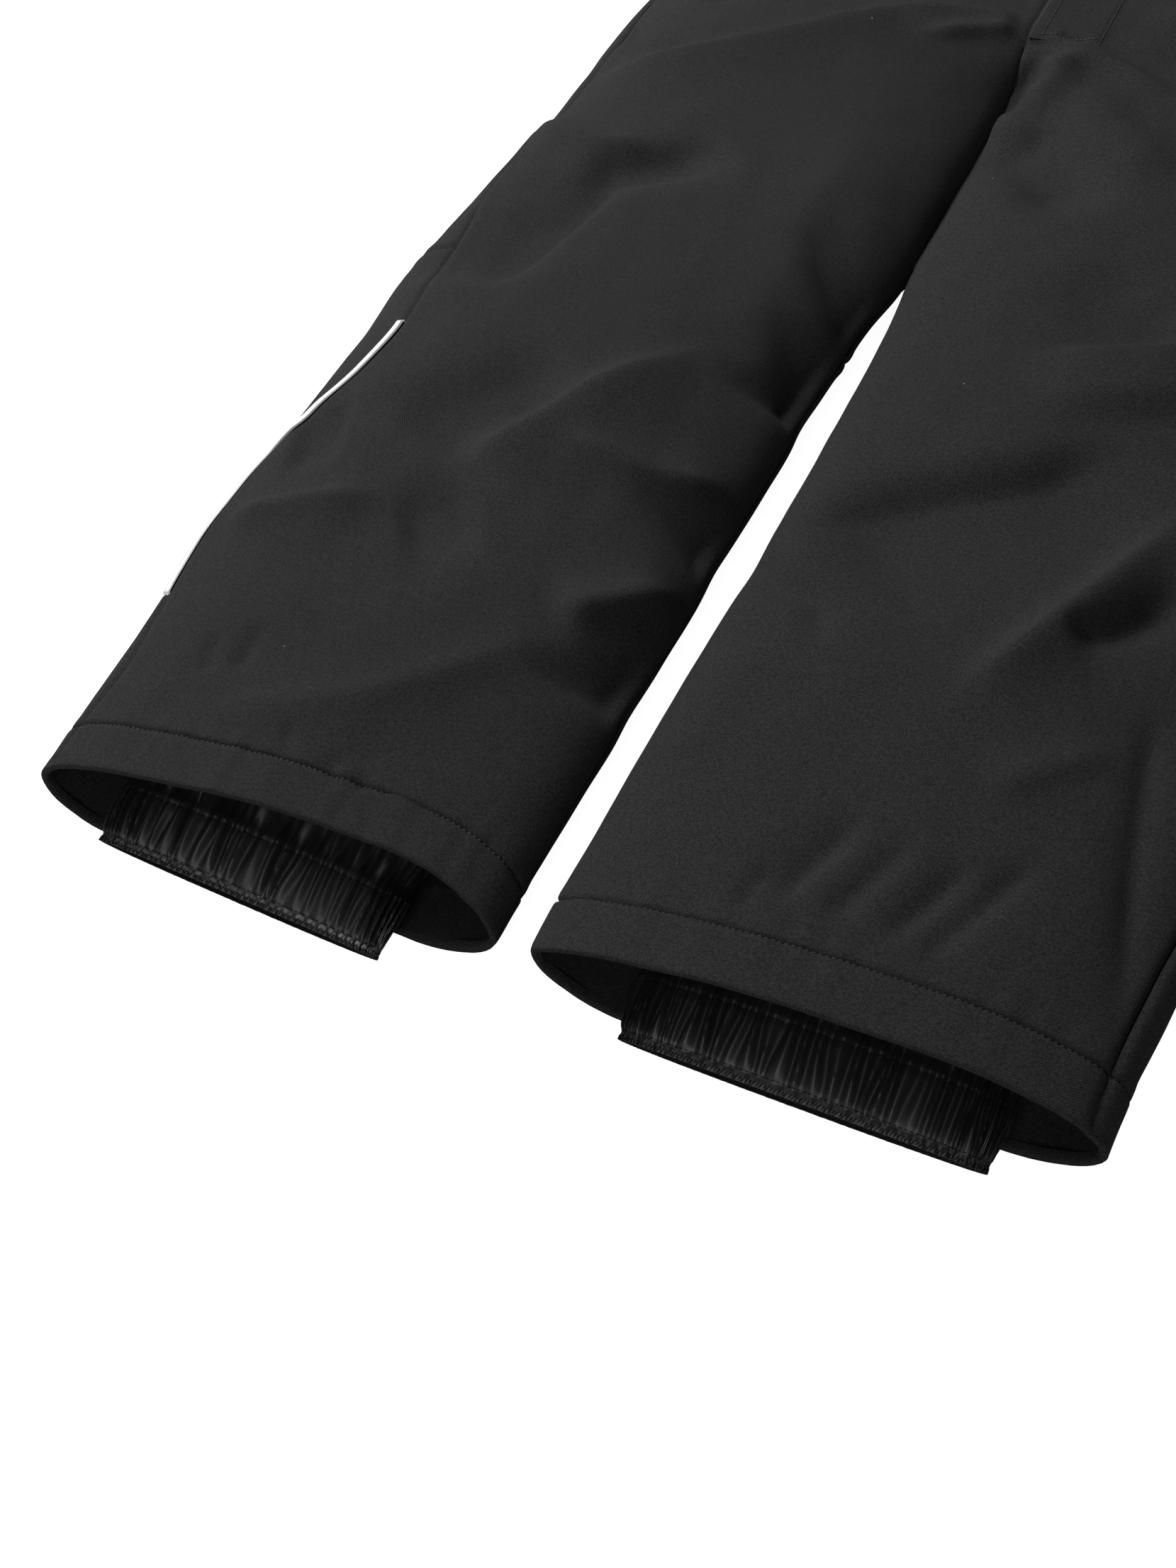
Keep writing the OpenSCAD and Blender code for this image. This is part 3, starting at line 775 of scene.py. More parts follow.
@dataclass(frozen=True)
class ClothFinish:
    """A woven cloth: its colours, threads and shine, with the raised threads painted in the lit colour as
    painted light and the sunken ones in the base colour as painted shade.
    """

    name: str
    slot: str
    base: float
    lit: float
    pitch: float
    twill: float
    rough: float
    rough_raised: float
    bump: float
    sheen: float = 0.0
    specular: float = 0.3
    lint: float = 0.0
    warm: float = 0.0
    mottle: float = 0.25
    metallic: float = 0.0
    crinkle: float = 0.0

    def build(self, effects: ClothEffects) -> bpy.types.Material:
        """Builds the material.

        Args:
            effects: The shared node groups.

        Returns:
            The material.
        """
        look = bpy.data.materials.new(self.name)
        look.use_nodes = True
        look.node_tree.nodes.clear()
        n = Nodes(look.node_tree)
        cloth = n.add("ShaderNodeUVMap", {"uv_map": "cloth"}).outputs[0]
        place = n.add("ShaderNodeTexCoord").outputs["Object"]
        weave = n.add(
            "ShaderNodeGroup", {"node_tree": effects.weave}, Vector=cloth, Pitch=self.pitch, Twill=self.twill
        )
        mottle = n.add("ShaderNodeGroup", {"node_tree": effects.mottle}, Vector=place, Size=0.09)
        # Painted light and shade of the weave: raised threads take the lit colour, sunken threads the base
        # colour.
        raised = n.blend(weave.outputs["Raised"], grey(self.base, self.warm), grey(self.lit, self.warm))
        patchy = n.math("MULTIPLY", mottle.outputs["Quick"], self.mottle)
        # Random dye mottle laid over the painted light and shade of the weave.
        mottled_colour = n.blend(patchy, raised, grey(self.lit * 1.7, self.warm))
        colour = mottled_colour
        if self.lint:
            specks = n.add(
                "ShaderNodeGroup", {"node_tree": effects.lint}, Vector=place, Spacing=0.022, Speck=0.00042
            )
            colour = n.blend(n.math("MULTIPLY", specks.outputs["Mask"], self.lint), mottled_colour, grey(0.5))
        rough = n.spread(mottle.outputs["Slow"], 0.0, 1.0, self.rough, self.rough_raised)
        height = weave.outputs["Height"]
        if self.crinkle:
            crease = n.add("ShaderNodeTexNoise", Vector=place, Scale=190.0, Detail=3.0)
            height = n.math("ADD", height, n.math("MULTIPLY", crease.outputs[0], self.crinkle))
        bump = n.add("ShaderNodeBump", Strength=1.0, Distance=self.bump * MM, Height=height)
        shader = n.add("ShaderNodeBsdfPrincipled", Base_Color=colour, Roughness=rough, Normal=bump.outputs[0])
        shader.inputs["Sheen Weight"].default_value = self.sheen
        shader.inputs["Sheen Roughness"].default_value = 0.45
        shader.inputs["Specular IOR Level"].default_value = self.specular
        shader.inputs["Metallic"].default_value = self.metallic
        n.add("ShaderNodeOutputMaterial", Surface=shader.outputs[0])
        return look


@dataclass(frozen=True)
class SolidFinish:
    """Metal, moulded or threaded stuff that reads its place in the object."""

    name: str
    slot: str
    base: float
    metallic: float
    rough: float
    grain: float
    bump: float
    ribs: float = 0.0
    specular: float = 0.45

    def build(self, effects: ClothEffects) -> bpy.types.Material:
        """Builds the material.

        Args:
            effects: The shared node groups.

        Returns:
            The material.
        """
        look = bpy.data.materials.new(self.name)
        look.use_nodes = True
        look.node_tree.nodes.clear()
        n = Nodes(look.node_tree)
        place = n.add("ShaderNodeTexCoord").outputs["Object"]
        mottle = n.add("ShaderNodeGroup", {"node_tree": effects.mottle}, Vector=place, Size=self.grain)
        patchy = n.math("MULTIPLY", mottle.outputs["Slow"], 0.5)
        mottled_colour = n.blend(patchy, grey(self.base), grey(self.base * 1.7))
        rough = n.spread(mottle.outputs["Quick"], 0.0, 1.0, self.rough - 0.06, self.rough + 0.1)
        height = mottle.outputs["Quick"]
        if self.ribs:
            parts = n.add("ShaderNodeSeparateXYZ", Vector=place)
            across = n.math("ADD", parts.outputs[0], parts.outputs[1])
            turn = n.math("MULTIPLY", across, FULL_TURN / (self.ribs * MM))
            height = n.math("ADD", height, n.math("SINE", turn))
        bump = n.add("ShaderNodeBump", Strength=1.0, Distance=self.bump * MM, Height=height)
        shader = n.add("ShaderNodeBsdfPrincipled", Base_Color=mottled_colour, Roughness=rough, Normal=bump.outputs[0])
        shader.inputs["Metallic"].default_value = self.metallic
        shader.inputs["Specular IOR Level"].default_value = self.specular
        n.add("ShaderNodeOutputMaterial", Surface=shader.outputs[0])
        return look


SHELL = ClothFinish(
    "matt_charcoal_shell", "shell_cloth", 0.0105, 0.0265, 0.00062, 0.7, 0.84, 0.94, 0.085,
    sheen=0.0, specular=0.08, lint=0.85, warm=0.004, mottle=0.6,
)
LINING = ClothFinish(
    "black_lining_taffeta", "taffeta", 0.008, 0.013, 0.0003, 0.2, 0.38, 0.5, 0.012,
    specular=0.45, crinkle=2.0,
)
GAITER = ClothFinish(
    "glossy_gaiter_taffeta", "taffeta", 0.008, 0.013, 0.0003, 0.15, 0.31, 0.42, 0.012,
    specular=0.6, crinkle=4.0,
)
WEBBING = ClothFinish(
    "black_woven_webbing", "webbing", 0.010, 0.028, 0.0011, 0.5, 0.6, 0.72, 0.09, specular=0.3,
)
SILVER = ClothFinish(
    "silver_reflective_tape", "reflective_tape", 0.44, 0.62, 0.0005, 0.1, 0.42, 0.5, 0.01,
    specular=0.5, mottle=0.2, metallic=0.25,
)
COATED = ClothFinish(
    "coated_zip_tape", "coated_zip", 0.009, 0.015, 0.0008, 0.52, 0.64, 0.55, 0.02, specular=0.3,
)
THREAD = SolidFinish("charcoal_thread", "shell_cloth", 0.017, 0.0, 0.55, 0.002, 0.05, ribs=0.5)
BLACK_THREAD = SolidFinish(
    "black_gaiter_thread", "taffeta", 0.006, 0.0, 0.9, 0.002, 0.05, ribs=0.5, specular=0.05,
)
GUNMETAL = SolidFinish("gunmetal_lacquer", "dark_metal", 0.10, 0.85, 0.32, 0.004, 0.01)
FINISHES = (SHELL, LINING, GAITER, WEBBING, SILVER, COATED, THREAD, BLACK_THREAD, GUNMETAL)


class Looks:
    """Every material, built once."""

    def __init__(self) -> None:
        """Builds the shared effects and then each finish."""
        effects = ClothEffects()
        self.made = {finish.name: finish.build(effects) for finish in FINISHES}

    def of(self, finish: "ClothFinish | SolidFinish") -> bpy.types.Material:
        """The material of a finish."""
        return self.made[finish.name]


# ---------------------------------------------------------------- outer cloth


# The rolled hem edge: station and depth below the surface, from the inside out
HEM_CURL = (
    (4.2, 2.7), (2.4, 2.75), (1.1, 2.5), (0.25, 1.95), (0.0, 1.3), (0.12, 0.65), (0.6, 0.18), (1.4, 0.0),
)
# Points used to measure the way round one section, and to find the fly's edge on it
ARC_SAMPLES, FLY_SAMPLES = 160, 200
HEM_STATIONS = (3, 5, 7, 9, 11, 13, 15, 17, 19, 21, 22.6, 23.8, 24.6, 25.2, 25.8, 26.6, 27.8, 29.6, 32)


@dataclass
class ShellCloth:
    """The outer cloth of one side: front and back panels from hem to waistband."""

    side: Side
    looks: Looks
    step: float = 3.0
    thick: float = 0.8
    hem_band: float = 25.2
    hem_fade: float = 130.0
    fly_width: float = 40.0
    fly_low: float = 674.0
    seam_dip: float = 1.1
    seam_reach: float = 1.5
    knee_seam: float = 395.0
    blend_reach: float = 45.0
    front: Grid = field(init=False)
    back: Grid = field(init=False)
    front_stations: Array = field(init=False)
    split: int = field(init=False)

    def __post_init__(self) -> None:
        """Shapes both panels."""
        self.front_stations = self._stations((self.fly_low,))
        self.front = self._front_grid()
        self.back = self._back_grid()

    def _stations(self, extra: Sequence[float]) -> Array:
        """Stations from the hem to under the waistband, with the extra ones exact."""
        top = FORM.band_low + 1.5
        plain = np.arange(35.0, top, self.step)
        for spot in extra:
            plain = plain[np.abs(plain - spot) > self.step * 0.5]
        return np.sort(np.concatenate([HEM_STATIONS, plain, extra, [top]]))

    def _levels(self, stations: Array) -> tuple[Array, Array]:
        """Stations and depths of every row, the curled hem edge first."""
        curl_y, curl_d = zip(*HEM_CURL)
        return np.concatenate([curl_y, stations]), np.concatenate([curl_d, stations * 0])

    def _angles(self, y: Array, spans: Sequence[tuple[float, float, Array]]) -> Array:
        """Angles of the columns, evenly spaced along each station's section.

        Args:
            y: Stations.
            spans: First angle, last angle and fractions of each span; an angle of
                nan stands for the fly's edge and inf for the side seam.

        Returns:
            Angles in radians, one row per station.
        """
        rows = []
        for station in y:
            fly = self._fly_angle(station)
            seam = math.radians(float(eased_table(np.array(station), SEAM_TURN[self.side])))
            parts = []
            for low, high, share in spans:
                ends = [
                    fly if math.isnan(v) else seam if math.isinf(v) else math.radians(v) for v in (low, high)
                ]
                dense = np.linspace(ends[0], ends[1], ARC_SAMPLES)
                points = FORM.point(np.full(ARC_SAMPLES, station), dense, 0.0, self.side)
                length = np.concatenate([[0], np.cumsum(np.linalg.norm(np.diff(points, axis=0), axis=1))])
                parts.append(np.interp(share * length[-1], length, dense))
            rows.append(np.concatenate([parts[0], *[p[1:] for p in parts[1:]]]))
        return np.array(rows)

    def _fly_angle(self, station: float) -> float:
        """The angle at which the front crosses the fly's edge line."""
        dense = np.linspace(math.pi / 2, math.pi, FLY_SAMPLES)
        x = FORM.point(np.full(FLY_SAMPLES, station), dense, 0.0, self.side)[:, 0] * self.side.sign
        return float(np.interp(-self.fly_width, -x, dense))

    def _base(self, y: Array, angles: Array) -> Grid:
        """The plain surface, before pulls and folds."""
        points = FORM.point(y[:, None] + angles * 0, angles, 0.0, self.side)
        return Grid(points, self.side.sign, curl=len(HEM_CURL))

    def _pull_hem(self, grid: Grid) -> None:
        """Pulls the hem edge up by the front and back tables."""
        x, y, z = np.moveaxis(grid.points, 2, 0)
        front = eased_table(np.abs(x), HEM_PULL[self.side]) * smooth((z - FORM.fold_height) / 14)
        back = eased_table(np.abs(x), BACK_HEM_PULL[self.side]) * smooth((FORM.fold_height - z) / 10)
        grid.points[..., 1] += (front + back) * (1 - smooth(y / self.hem_fade))

    def _hem_relief(self, y: Array) -> Array:
        """Height of the turned-up hem, with its sewn groove."""
        band = 0.3 * (1 - smooth((y - self.hem_band + 2.2) / 2.6))
        groove = -1.5 * bell(y - self.hem_band, 0.85)
        puff = 0.25 * bell(y - self.hem_band - 4, 3.0)
        return band + groove + puff

    def _seam_relief(self, grid: Grid) -> Array:
        """Height of the panel beside its two long seams."""
        run = grid.across
        width = grid.across[:, -1:]
        relief = np.zeros(run.shape)
        for gap in (run, width - run):
            relief += -self.seam_dip * bell(gap, self.seam_reach) + 0.3 * bell(gap - 4.5, 3.0)
        return relief

    def _crumple(self, grid: Grid, seed: int) -> Array:
        """Low unevenness of stuffed cloth, with puckers along the hem seam."""
        x, y, _ = np.moveaxis(grid.points, 2, 0)
        broad = 0.55 * ripples(x, y * 0.6, 95, seed) + 0.16 * ripples(x, y * 0.8, 30, seed + 1)
        pucker = ripples(grid.across, grid.across * 0 + 7, 13, seed + 2) * 0.32
        broad += pucker * (bell(y - self.hem_band - 7, 8) + 0.8 * bell(y - self.hem_band + 9, 8))
        return broad

    def _front_grid(self) -> Grid:
        """The front panel, with its folds."""
        fine = (0.8, 1.6, 2.8)
        outer = graded(225, self.step, fine)
        outer = np.concatenate([outer[outer < 0.9], np.linspace(0.91, 1.0, 8)])
        inner = graded(62, self.step, fine)
        inner = np.concatenate([np.linspace(0, 0.85, 18), inner[inner > 0.87]])
        self.split = len(outer) - 1
        y, depth = self._levels(self.front_stations)
        spans = ((math.inf, math.nan, outer), (math.nan, 179.6, inner))
        grid = self._base(y, self._angles(y, spans))
        self._pull_hem(grid)
        flat = grid.points.copy()
        x, at_y = flat[..., 0], flat[..., 1]
        lift = fold_lift(FOLDS[self.side], x, at_y) * (0.25 + 0.75 * smooth((y[:, None] - 4) / 40))
        lift += self._crumple(grid, 11 + self.side.value)
        lift *= edge_weight(flat[..., 2])
        lift += self._hem_relief(y)[:, None] + self._seam_relief(grid) * smooth((y[:, None] - 1) / 3)
        lift = lift * self._pocket_ease(x, at_y)
        lift += self._fly_relief(grid, y)
        grid.raise_by(lift - depth[:, None])
        self._settle(grid, flat)
        return grid

    def _pocket_ease(self, x: Array, y: Array) -> Array:
        """0 beside the pocket zip, where the cloth is held flat, and 1 away from it."""
        label = self.side.label
        run = next(j for j in frame["joints"] if j["name"] == f"{label}_pocket_zip_run")
        low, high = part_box(f"{label}_pocket_zip")
        middle = (np.array(low) + np.array(high)) / 2 / MM - np.array([0, HEM_LINE / MM, 0])
        ahead = np.array(run["axis"][:2], float)
        ahead /= np.linalg.norm(ahead)
        dx, dy = x - middle[0], y - middle[1]
        along = np.maximum(np.abs(dx * ahead[0] + dy * ahead[1]) - 70, 0)
        aside = dx * ahead[1] - dy * ahead[0]
        return smooth((np.hypot(along, aside) - 9) / 16)

    def _fly_relief(self, grid: Grid, y: Array) -> Array:
        """Height round the fly: thicker cloth, its sewn edges and the crotch pucker."""
        x, at_y, _ = np.moveaxis(grid.points, 2, 0)
        above = smooth((y[:, None] - self.fly_low) / 4)
        gap = np.abs(x)
        relief = 0.9 * above * (1 - smooth((gap - self.fly_width - 1) / 3)) * (x > 0)
        if self.side is Side.LEFT:
            across = smooth(gap / 5) * (1 - smooth((gap - 40) / 3))
            relief -= 0.9 * bell(at_y - self.fly_low + 1, 1.6) * across
            relief += fold_lift((Fold(((16, 681), (38, 677)), -2.2, 3, 3),), x, at_y)
        ease = ripples(x * 0.3, at_y, 26, 5) * 0.45 * above * bell(gap - self.fly_width, 12)
        return relief + ease

    def _back_grid(self) -> Grid:
        """The back panel, lying on the ground, with its knee seam and seat."""
        fine = (0.8, 1.6, 2.8)
        knee = (self.knee_seam - 1.2, self.knee_seam, self.knee_seam + 1.2)
        y, depth = self._levels(self._stations(knee))
        across = graded(262, self.step, fine)
        grid = self._base(y, self._angles(y, ((-180.4, math.inf, across),)))
        self._pull_hem(grid)
        flat = grid.points.copy()
        x, at_y, z = np.moveaxis(flat, 2, 0)
        up = smooth((z - 3) / 12)
        lift = fold_lift(FOLDS[self.side], x, at_y) * edge_weight(z)
        lift += self._crumple(grid, 31 + self.side.value) * (0.35 + 0.65 * up)
        lift += self._hem_relief(y)[:, None] + self._seam_relief(grid) * smooth((y[:, None] - 1) / 3)
        seam = y[:, None] - self.knee_seam
        lift += -1.1 * bell(seam, 1.3) + 0.7 * bell(np.abs(seam) - 6, 5)
        grid.raise_by(lift - depth[:, None])
        hang = self._seat_hollows(x, at_y)
        grid.points[..., 2] += hang * (1 - up)
        self._settle(grid, flat)
        return grid

    def _seat_hollows(self, x: Array, y: Array) -> Array:
        """How far creases of the back stand off the ground."""
        creases = (
            Fold(((20, 700), (90, 712), (170, 690)), 3.0, 10, 10),
            Fold(((14, 668), (70, 650), (150, 655)), 3.4, 9, 12),
            Fold(((30, 420), (110, 412), (200, 424)), 3.0, 9, 9),
            Fold(((24, 352), (100, 366), (190, 356)), 3.2, 10, 9),
            Fold(((60, 240), (120, 210), (180, 150)), 2.6, 12, 12),
            Fold(((40, 560), (100, 540), (190, 560)), 2.4, 12, 12),
        )
        return fold_lift(creases, np.abs(x), y)

    def _settle(self, grid: Grid, flat: Array) -> None:
        """Keeps the cloth on its own side, closed at the middle and above the ground."""
        x, plain = grid.points[..., 0] * self.side.sign, flat[..., 0] * self.side.sign
        touching = (flat[..., 1] > 452) & (plain < 10)
        x = np.where(touching, np.minimum(x, plain), x)
        meeting = (flat[..., 1] > 466) & (plain < 1.6)
        x = np.where(meeting, 0.12, np.maximum(x, 0.35))
        grid.points[..., 0] = x * self.side.sign
        grid.points[..., 2] = np.maximum(grid.points[..., 2], 0.9)

    def _bend(self, piece: bpy.types.Object) -> None:
        """Bakes a piece's placement into its mesh, through bend_at_knee."""
        bend_at_knee(piece)

    def build(self) -> None:
        label, look = self.side.label, self.looks.of(SHELL)
        rows = np.concatenate([np.zeros(len(HEM_CURL)), self.front_stations])
        cut = None
        if self.side is Side.LEFT:
            cut = np.zeros(self.front.points.shape[:2], bool)
            cut[rows >= self.fly_low - 0.01, self.split :] = True
        front = cloth_piece(f"{label}_front_panel_cloth", self.front, self.thick, look, cut)
        self._bend(front)
        hidden = ("front_shin_panel", "front_thigh_panel", "shin_insulation", "thigh_insulation")
        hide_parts(*[f"{label}_{part}" for part in hidden])
        back = cloth_piece(f"{label}_back_panel_cloth", self.back, self.thick, look)
        self._bend(back)
        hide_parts(f"{label}_back_calf_panel", f"{label}_back_thigh_panel")
        thread = self._hem_stitches()
        counts = len(front.data.polygons), len(back.data.polygons)
        LOG.info("%s outer cloth: %d front and %d back faces", label, *counts)

    def _hem_stitches(self) -> bpy.types.Object:
        """The single row of topstitching round the hem."""
        lines = []
        for grid in (self.front, self.back):
            row = len(HEM_CURL) + HEM_STATIONS.index(self.hem_band)
            lines.append((grid.points[row], grid.normals()[row]))
        name = f"{self.side.label}_hem_stitches"
        stitches = StitchRow().build(name, lines, self.looks.of(THREAD))
        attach(stitches, f"{self.side.label}_lower_leg")
        return stitches


def bend_at_knee(piece: bpy.types.Object) -> None:
    """Bakes a piece's placement into its mesh."""
    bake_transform(piece)


# ------------------------------------------------------- inside of the legs


@dataclass
class LegInside:
    """What shows inside a leg: the turned-up hem and the lining."""

    shell: ShellCloth
    looks: Looks
    facing_depth: float = 2.2
    facing_height: float = 26.5
    lining_depth: float = 6.2
    lining_low: float = 25.0
    step: float = 6.0

    def _layer(self, y: Array, low: float, high: float, count: int, depth: float, seed: int) -> Grid:
        """A layer below the outer cloth that follows its folds.

        Args:
            y: Stations.
            low: First angle in degrees.
            high: Last angle in degrees.
            count: Number of columns.
            depth: Depth below the outer surface.
            seed: Seed of the layer's own wrinkles.

        Returns:
            The layer's grid.
        """
        side = self.shell.side
        angles = np.radians(np.linspace(low, high, count))[None, :] + y[:, None] * 0
        angles = self._even(y, angles, depth)
        grid = Grid(FORM.point(y[:, None] + angles * 0, angles, depth, side), side.sign)
        self.shell._pull_hem(grid)
        x, at_y, z = np.moveaxis(FORM.point(y[:, None] + angles * 0, angles, 0.0, side), 2, 0)
        lift = fold_lift(FOLDS[side], x, at_y) * edge_weight(z)
        lift += 0.7 * ripples(x, at_y * 0.7, 42, seed)
        grid.raise_by(np.minimum(lift, 1.0) * 1.04)
        grid.points[..., 2] = np.maximum(grid.points[..., 2], depth + 0.6)
        return grid

    def _even(self, y: Array, angles: Array, depth: float) -> Array:
        """Spaces a layer's columns evenly along each section."""
        out = []
        for station, row in zip(y, angles):
            dense = np.linspace(row[0], row[-1], 200)
            points = FORM.point(np.full(200, station), dense, depth, self.shell.side)
            length = np.concatenate([[0], np.cumsum(np.linalg.norm(np.diff(points, axis=0), axis=1))])
            out.append(np.interp(np.linspace(0, length[-1], len(row)), length, dense))
        return np.array(out)

    def build(self) -> None:
        """Makes the facing and the lining."""
        side, label = self.shell.side, self.shell.side.label
        y = np.array([1.6, 2.4, 4, 7, 11, 15, 19, 23, 25.4, self.facing_height])
        grid = self._layer(y, -179.5, 179.5, 190, self.facing_depth, 3)
        grid.ring = True
        facing = cloth_piece(f"{label}_hem_facing_cloth", grid, 0.8, self.looks.of(SHELL))
        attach(facing, f"{label}_lower_leg")
        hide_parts(f"{label}_hem_facing")
        y = np.concatenate([np.arange(self.lining_low, FORM.band_low, self.step), [FORM.band_low + 4]])
        sheets = (("front", 1.0, 179.5, 46, 7), ("back", -179.5, 1.0, 46, 9))
        for name, low, high, count, seed in sheets:
            grid = self._layer(y, low, high, count, self.lining_depth, seed + side.value)
            cut = None
            if side is Side.LEFT and name == "front":
                cut = (grid.points[..., 0] < 48) & (grid.points[..., 1] > self.shell.fly_low - 4)
            piece = cloth_piece(f"{label}_{name}_lining_cloth", grid, 0.5, self.looks.of(LINING), cut)
            bend_at_knee(piece)
            if name == "back":
                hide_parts(f"{label}_shin_lining", f"{label}_thigh_lining")
        LOG.info("%s hem facing and lining", label)


@dataclass
class ReflectivePiping:
    """The silver strip sewn into the outer side seam of a lower leg."""

    shell: ShellCloth
    looks: Looks
    low: float = 108.0
    high: float = 322.0
    width: float = 4.2
    proud: float = 0.9

    def build(self) -> None:
        """Makes the strip along the seam, its ends tucked in."""
        side, label = self.shell.side, self.shell.side.label
        rows = np.concatenate([np.zeros(len(HEM_CURL)), self.shell.front_stations])
        chosen = np.where((rows >= self.low) & (rows <= self.high))[0]
        seam = self.shell.front.points[chosen, 0]
        normals = self.shell.front.normals()[chosen, 6]
        fine = np.linspace(0, len(seam) - 1, 4 * len(seam))
        at = np.arange(len(seam))
        seam = np.stack([np.interp(fine, at, seam[:, k]) for k in range(3)], -1)
        normals = np.stack([np.interp(fine, at, normals[:, k]) for k in range(3)], -1)
        along = np.gradient(seam, axis=0)
        along /= np.linalg.norm(along, axis=1, keepdims=True)
        cross = np.cross(along, normals) * side.sign
        lanes = np.linspace(-1.12, -0.12, 9)
        arch = self.proud * (1 - (2 * (lanes + 0.62)) ** 4) + 0.5
        end = np.minimum(np.arange(len(seam)), np.arange(len(seam))[::-1])
        tuck = (1 - smooth(end / 4)) * 1.4
        points = seam[:, None] - cross[:, None] * lanes[None, :, None] * self.width
        points = points + normals[:, None] * (arch[None, :, None] - tuck[:, None, None] + 0.4)
        grid = Grid(points, side.sign)
        piece = cloth_piece(f"{label}_reflective_strip", grid, 0.9, self.looks.of(SILVER))
        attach(piece, f"{label}_lower_leg")
        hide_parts(f"{label}_reflective_piping")
        LOG.info("%s reflective piping: %.0f mm long", label, self.high - self.low)


# ------------------------------------------------------------------- gaiters


@dataclass
class SnowGaiter:
    """The elasticated inner gaiter of one leg: gathered cuff and skirt."""

    shell: ShellCloth
    looks: Looks
    width: float = 144.0
    low: float = -15.0
    high: float = 10.0
    skirt_top: float = 128.0
    low_stitch: float = -11.8
    high_stitch: float = 8.6
    seat: float = 3.0
    tilt: float = 0.0
    shift: float = 0.0
    gathers: int = 34
    back_gathers: int = 28
    samples: int = 11
    puff: float = 3.7

    def __post_init__(self) -> None:
        """Draws the gathers once, so that the cuff and the skirt agree."""
        draw = np.random.default_rng(40 + self.shell.side.value)
        total = self.gathers + self.back_gathers
        self.jitter = draw.uniform(-0.36, 0.36, (3, total))
        self.size = draw.uniform(0.45, 1.2, total)
        self.length = draw.uniform(0.6, 1.5, total)

    def _columns(self) -> tuple[Array, Array]:
        """Angle and gather count at every column, the back first.

        Returns:
            Angles in radians from -180 to 180 degrees, and running gather numbers.
        """
        back = np.linspace(-math.pi, 0, self.back_gathers * 5 + 1)[:-1]
        front = np.linspace(0, math.pi, self.gathers * self.samples + 1)[:-1]
        numbers = np.concatenate([
            np.linspace(0, self.back_gathers, len(back) + 1)[:-1],
            self.back_gathers + np.linspace(0, self.gathers, len(front) + 1)[:-1],
        ])
        return np.concatenate([back, front]), numbers

    def _section(self, y: Array, share: Array, front: Array) -> Array:
        """The plain tube at each station.

        Args:
            y: Stations, as a column.
            share: Shares 0..1 round each half of the tube.
            front: Mask of the front half.

        Returns:
            Points in garment millimetres.
        """
        side = self.shell.side
        t = smooth((y - self.high) / (self.skirt_top - self.high))
        inner, outer = FORM.inner(y, side), FORM.outer(y, side)
        middle = (FORM.hem_half + FORM.hem_gap / 2) / 2 + 3 + self.shift
        half = mix(self.width / 2, (outer - inner) / 2 - 14, t)
        centre = mix(middle, (outer + inner) / 2, t)
        cuff_top = mix(7.6, 19.5, clamp01((y - self.low) / 26) ** 0.8)
        billow = smooth((y - self.high) / 42)
        top = mix(cuff_top, FORM.crown(y) - 13.5 - 3.5 * t, billow)
        low = mix(self.seat, 7.4, clamp01((y - self.high) / 29))
        fold = mix((cuff_top + self.seat) / 2, FORM.fold_height, t)
        across = np.cos(share * math.pi)
        rounding = (1 - np.abs(across) ** 2.6) ** (1 / 2.0)
        x = centre + half * across
        z = np.where(front, fold + (top - fold) * rounding, fold - (fold - low) * rounding)
        lean = self.tilt * (x - middle) * (1 - t)
        return np.stack([x * side.sign, y + lean, z], -1)

    def _gather(self, numbers: Array, y: Array) -> Array:
        """Height of the gathers, 0 in a pinch and about 1 on a crest."""
        whole = np.floor(numbers).astype(int) % len(self.size)
        after = (whole + 1) % len(self.size)
        part = numbers - np.floor(numbers)
        t = smooth((y - self.low_stitch) / (self.high_stitch - self.low_stitch))
        drift_low = mix(self.jitter[0][whole], self.jitter[0][after], part)
        drift_high = mix(self.jitter[1][whole], self.jitter[1][after], part)
        phase = numbers + mix(drift_low, drift_high, t)
        crest = 1 - np.abs(np.cos(math.pi * phase)) ** 1.5
        number = np.floor(phase).astype(int) % len(self.size)
        return crest * self.size[number]

    def _cuff_grid(self, y: Array, inward: float, share: float) -> Grid:
        """The gathered cuff, or a plainer tube inside it."""
        angle, numbers = self._columns()
        front = (angle >= 0)[None, :]
        around = np.where(angle >= 0, angle / math.pi, -angle / math.pi)[None, :]
        points = self._section(y[:, None], around, front)
        grid = Grid(points, self.shell.side.sign, ring=True)
        column, lengths = y[:, None], (self.low_stitch, self.high_stitch)
        between = clamp01((column - lengths[0]) / (lengths[1] - lengths[0]))
        swell = 0.24 + 0.76 * np.sin(math.pi / 2 * clamp01(between * 1.5)) ** 0.7
        swell = np.where(column < lengths[0], 0.24 + 0.1 * smooth((lengths[0] - column) / 3), swell)
        crest = self._gather(numbers[None, :], column)
        ruffle = np.abs(np.sin(math.pi * numbers * 2.0 + 0.6))[None, :]
        frill = smooth((lengths[0] + 0.6 - column) / 2.5)
        crest = mix(crest, ruffle * 0.8, frill * 0.6)
        depth = self.puff * swell * crest * np.where(front, 1.0, 0.35)
        pinch = -0.7 * bell(column - lengths[0], 0.8) - 0.3 * bell(column - lengths[1], 1.6)
        grid.raise_by(share * (depth + pinch) - inward)
        grid.points[..., 2] = np.maximum(grid.points[..., 2], 0.9 + inward)
        return grid

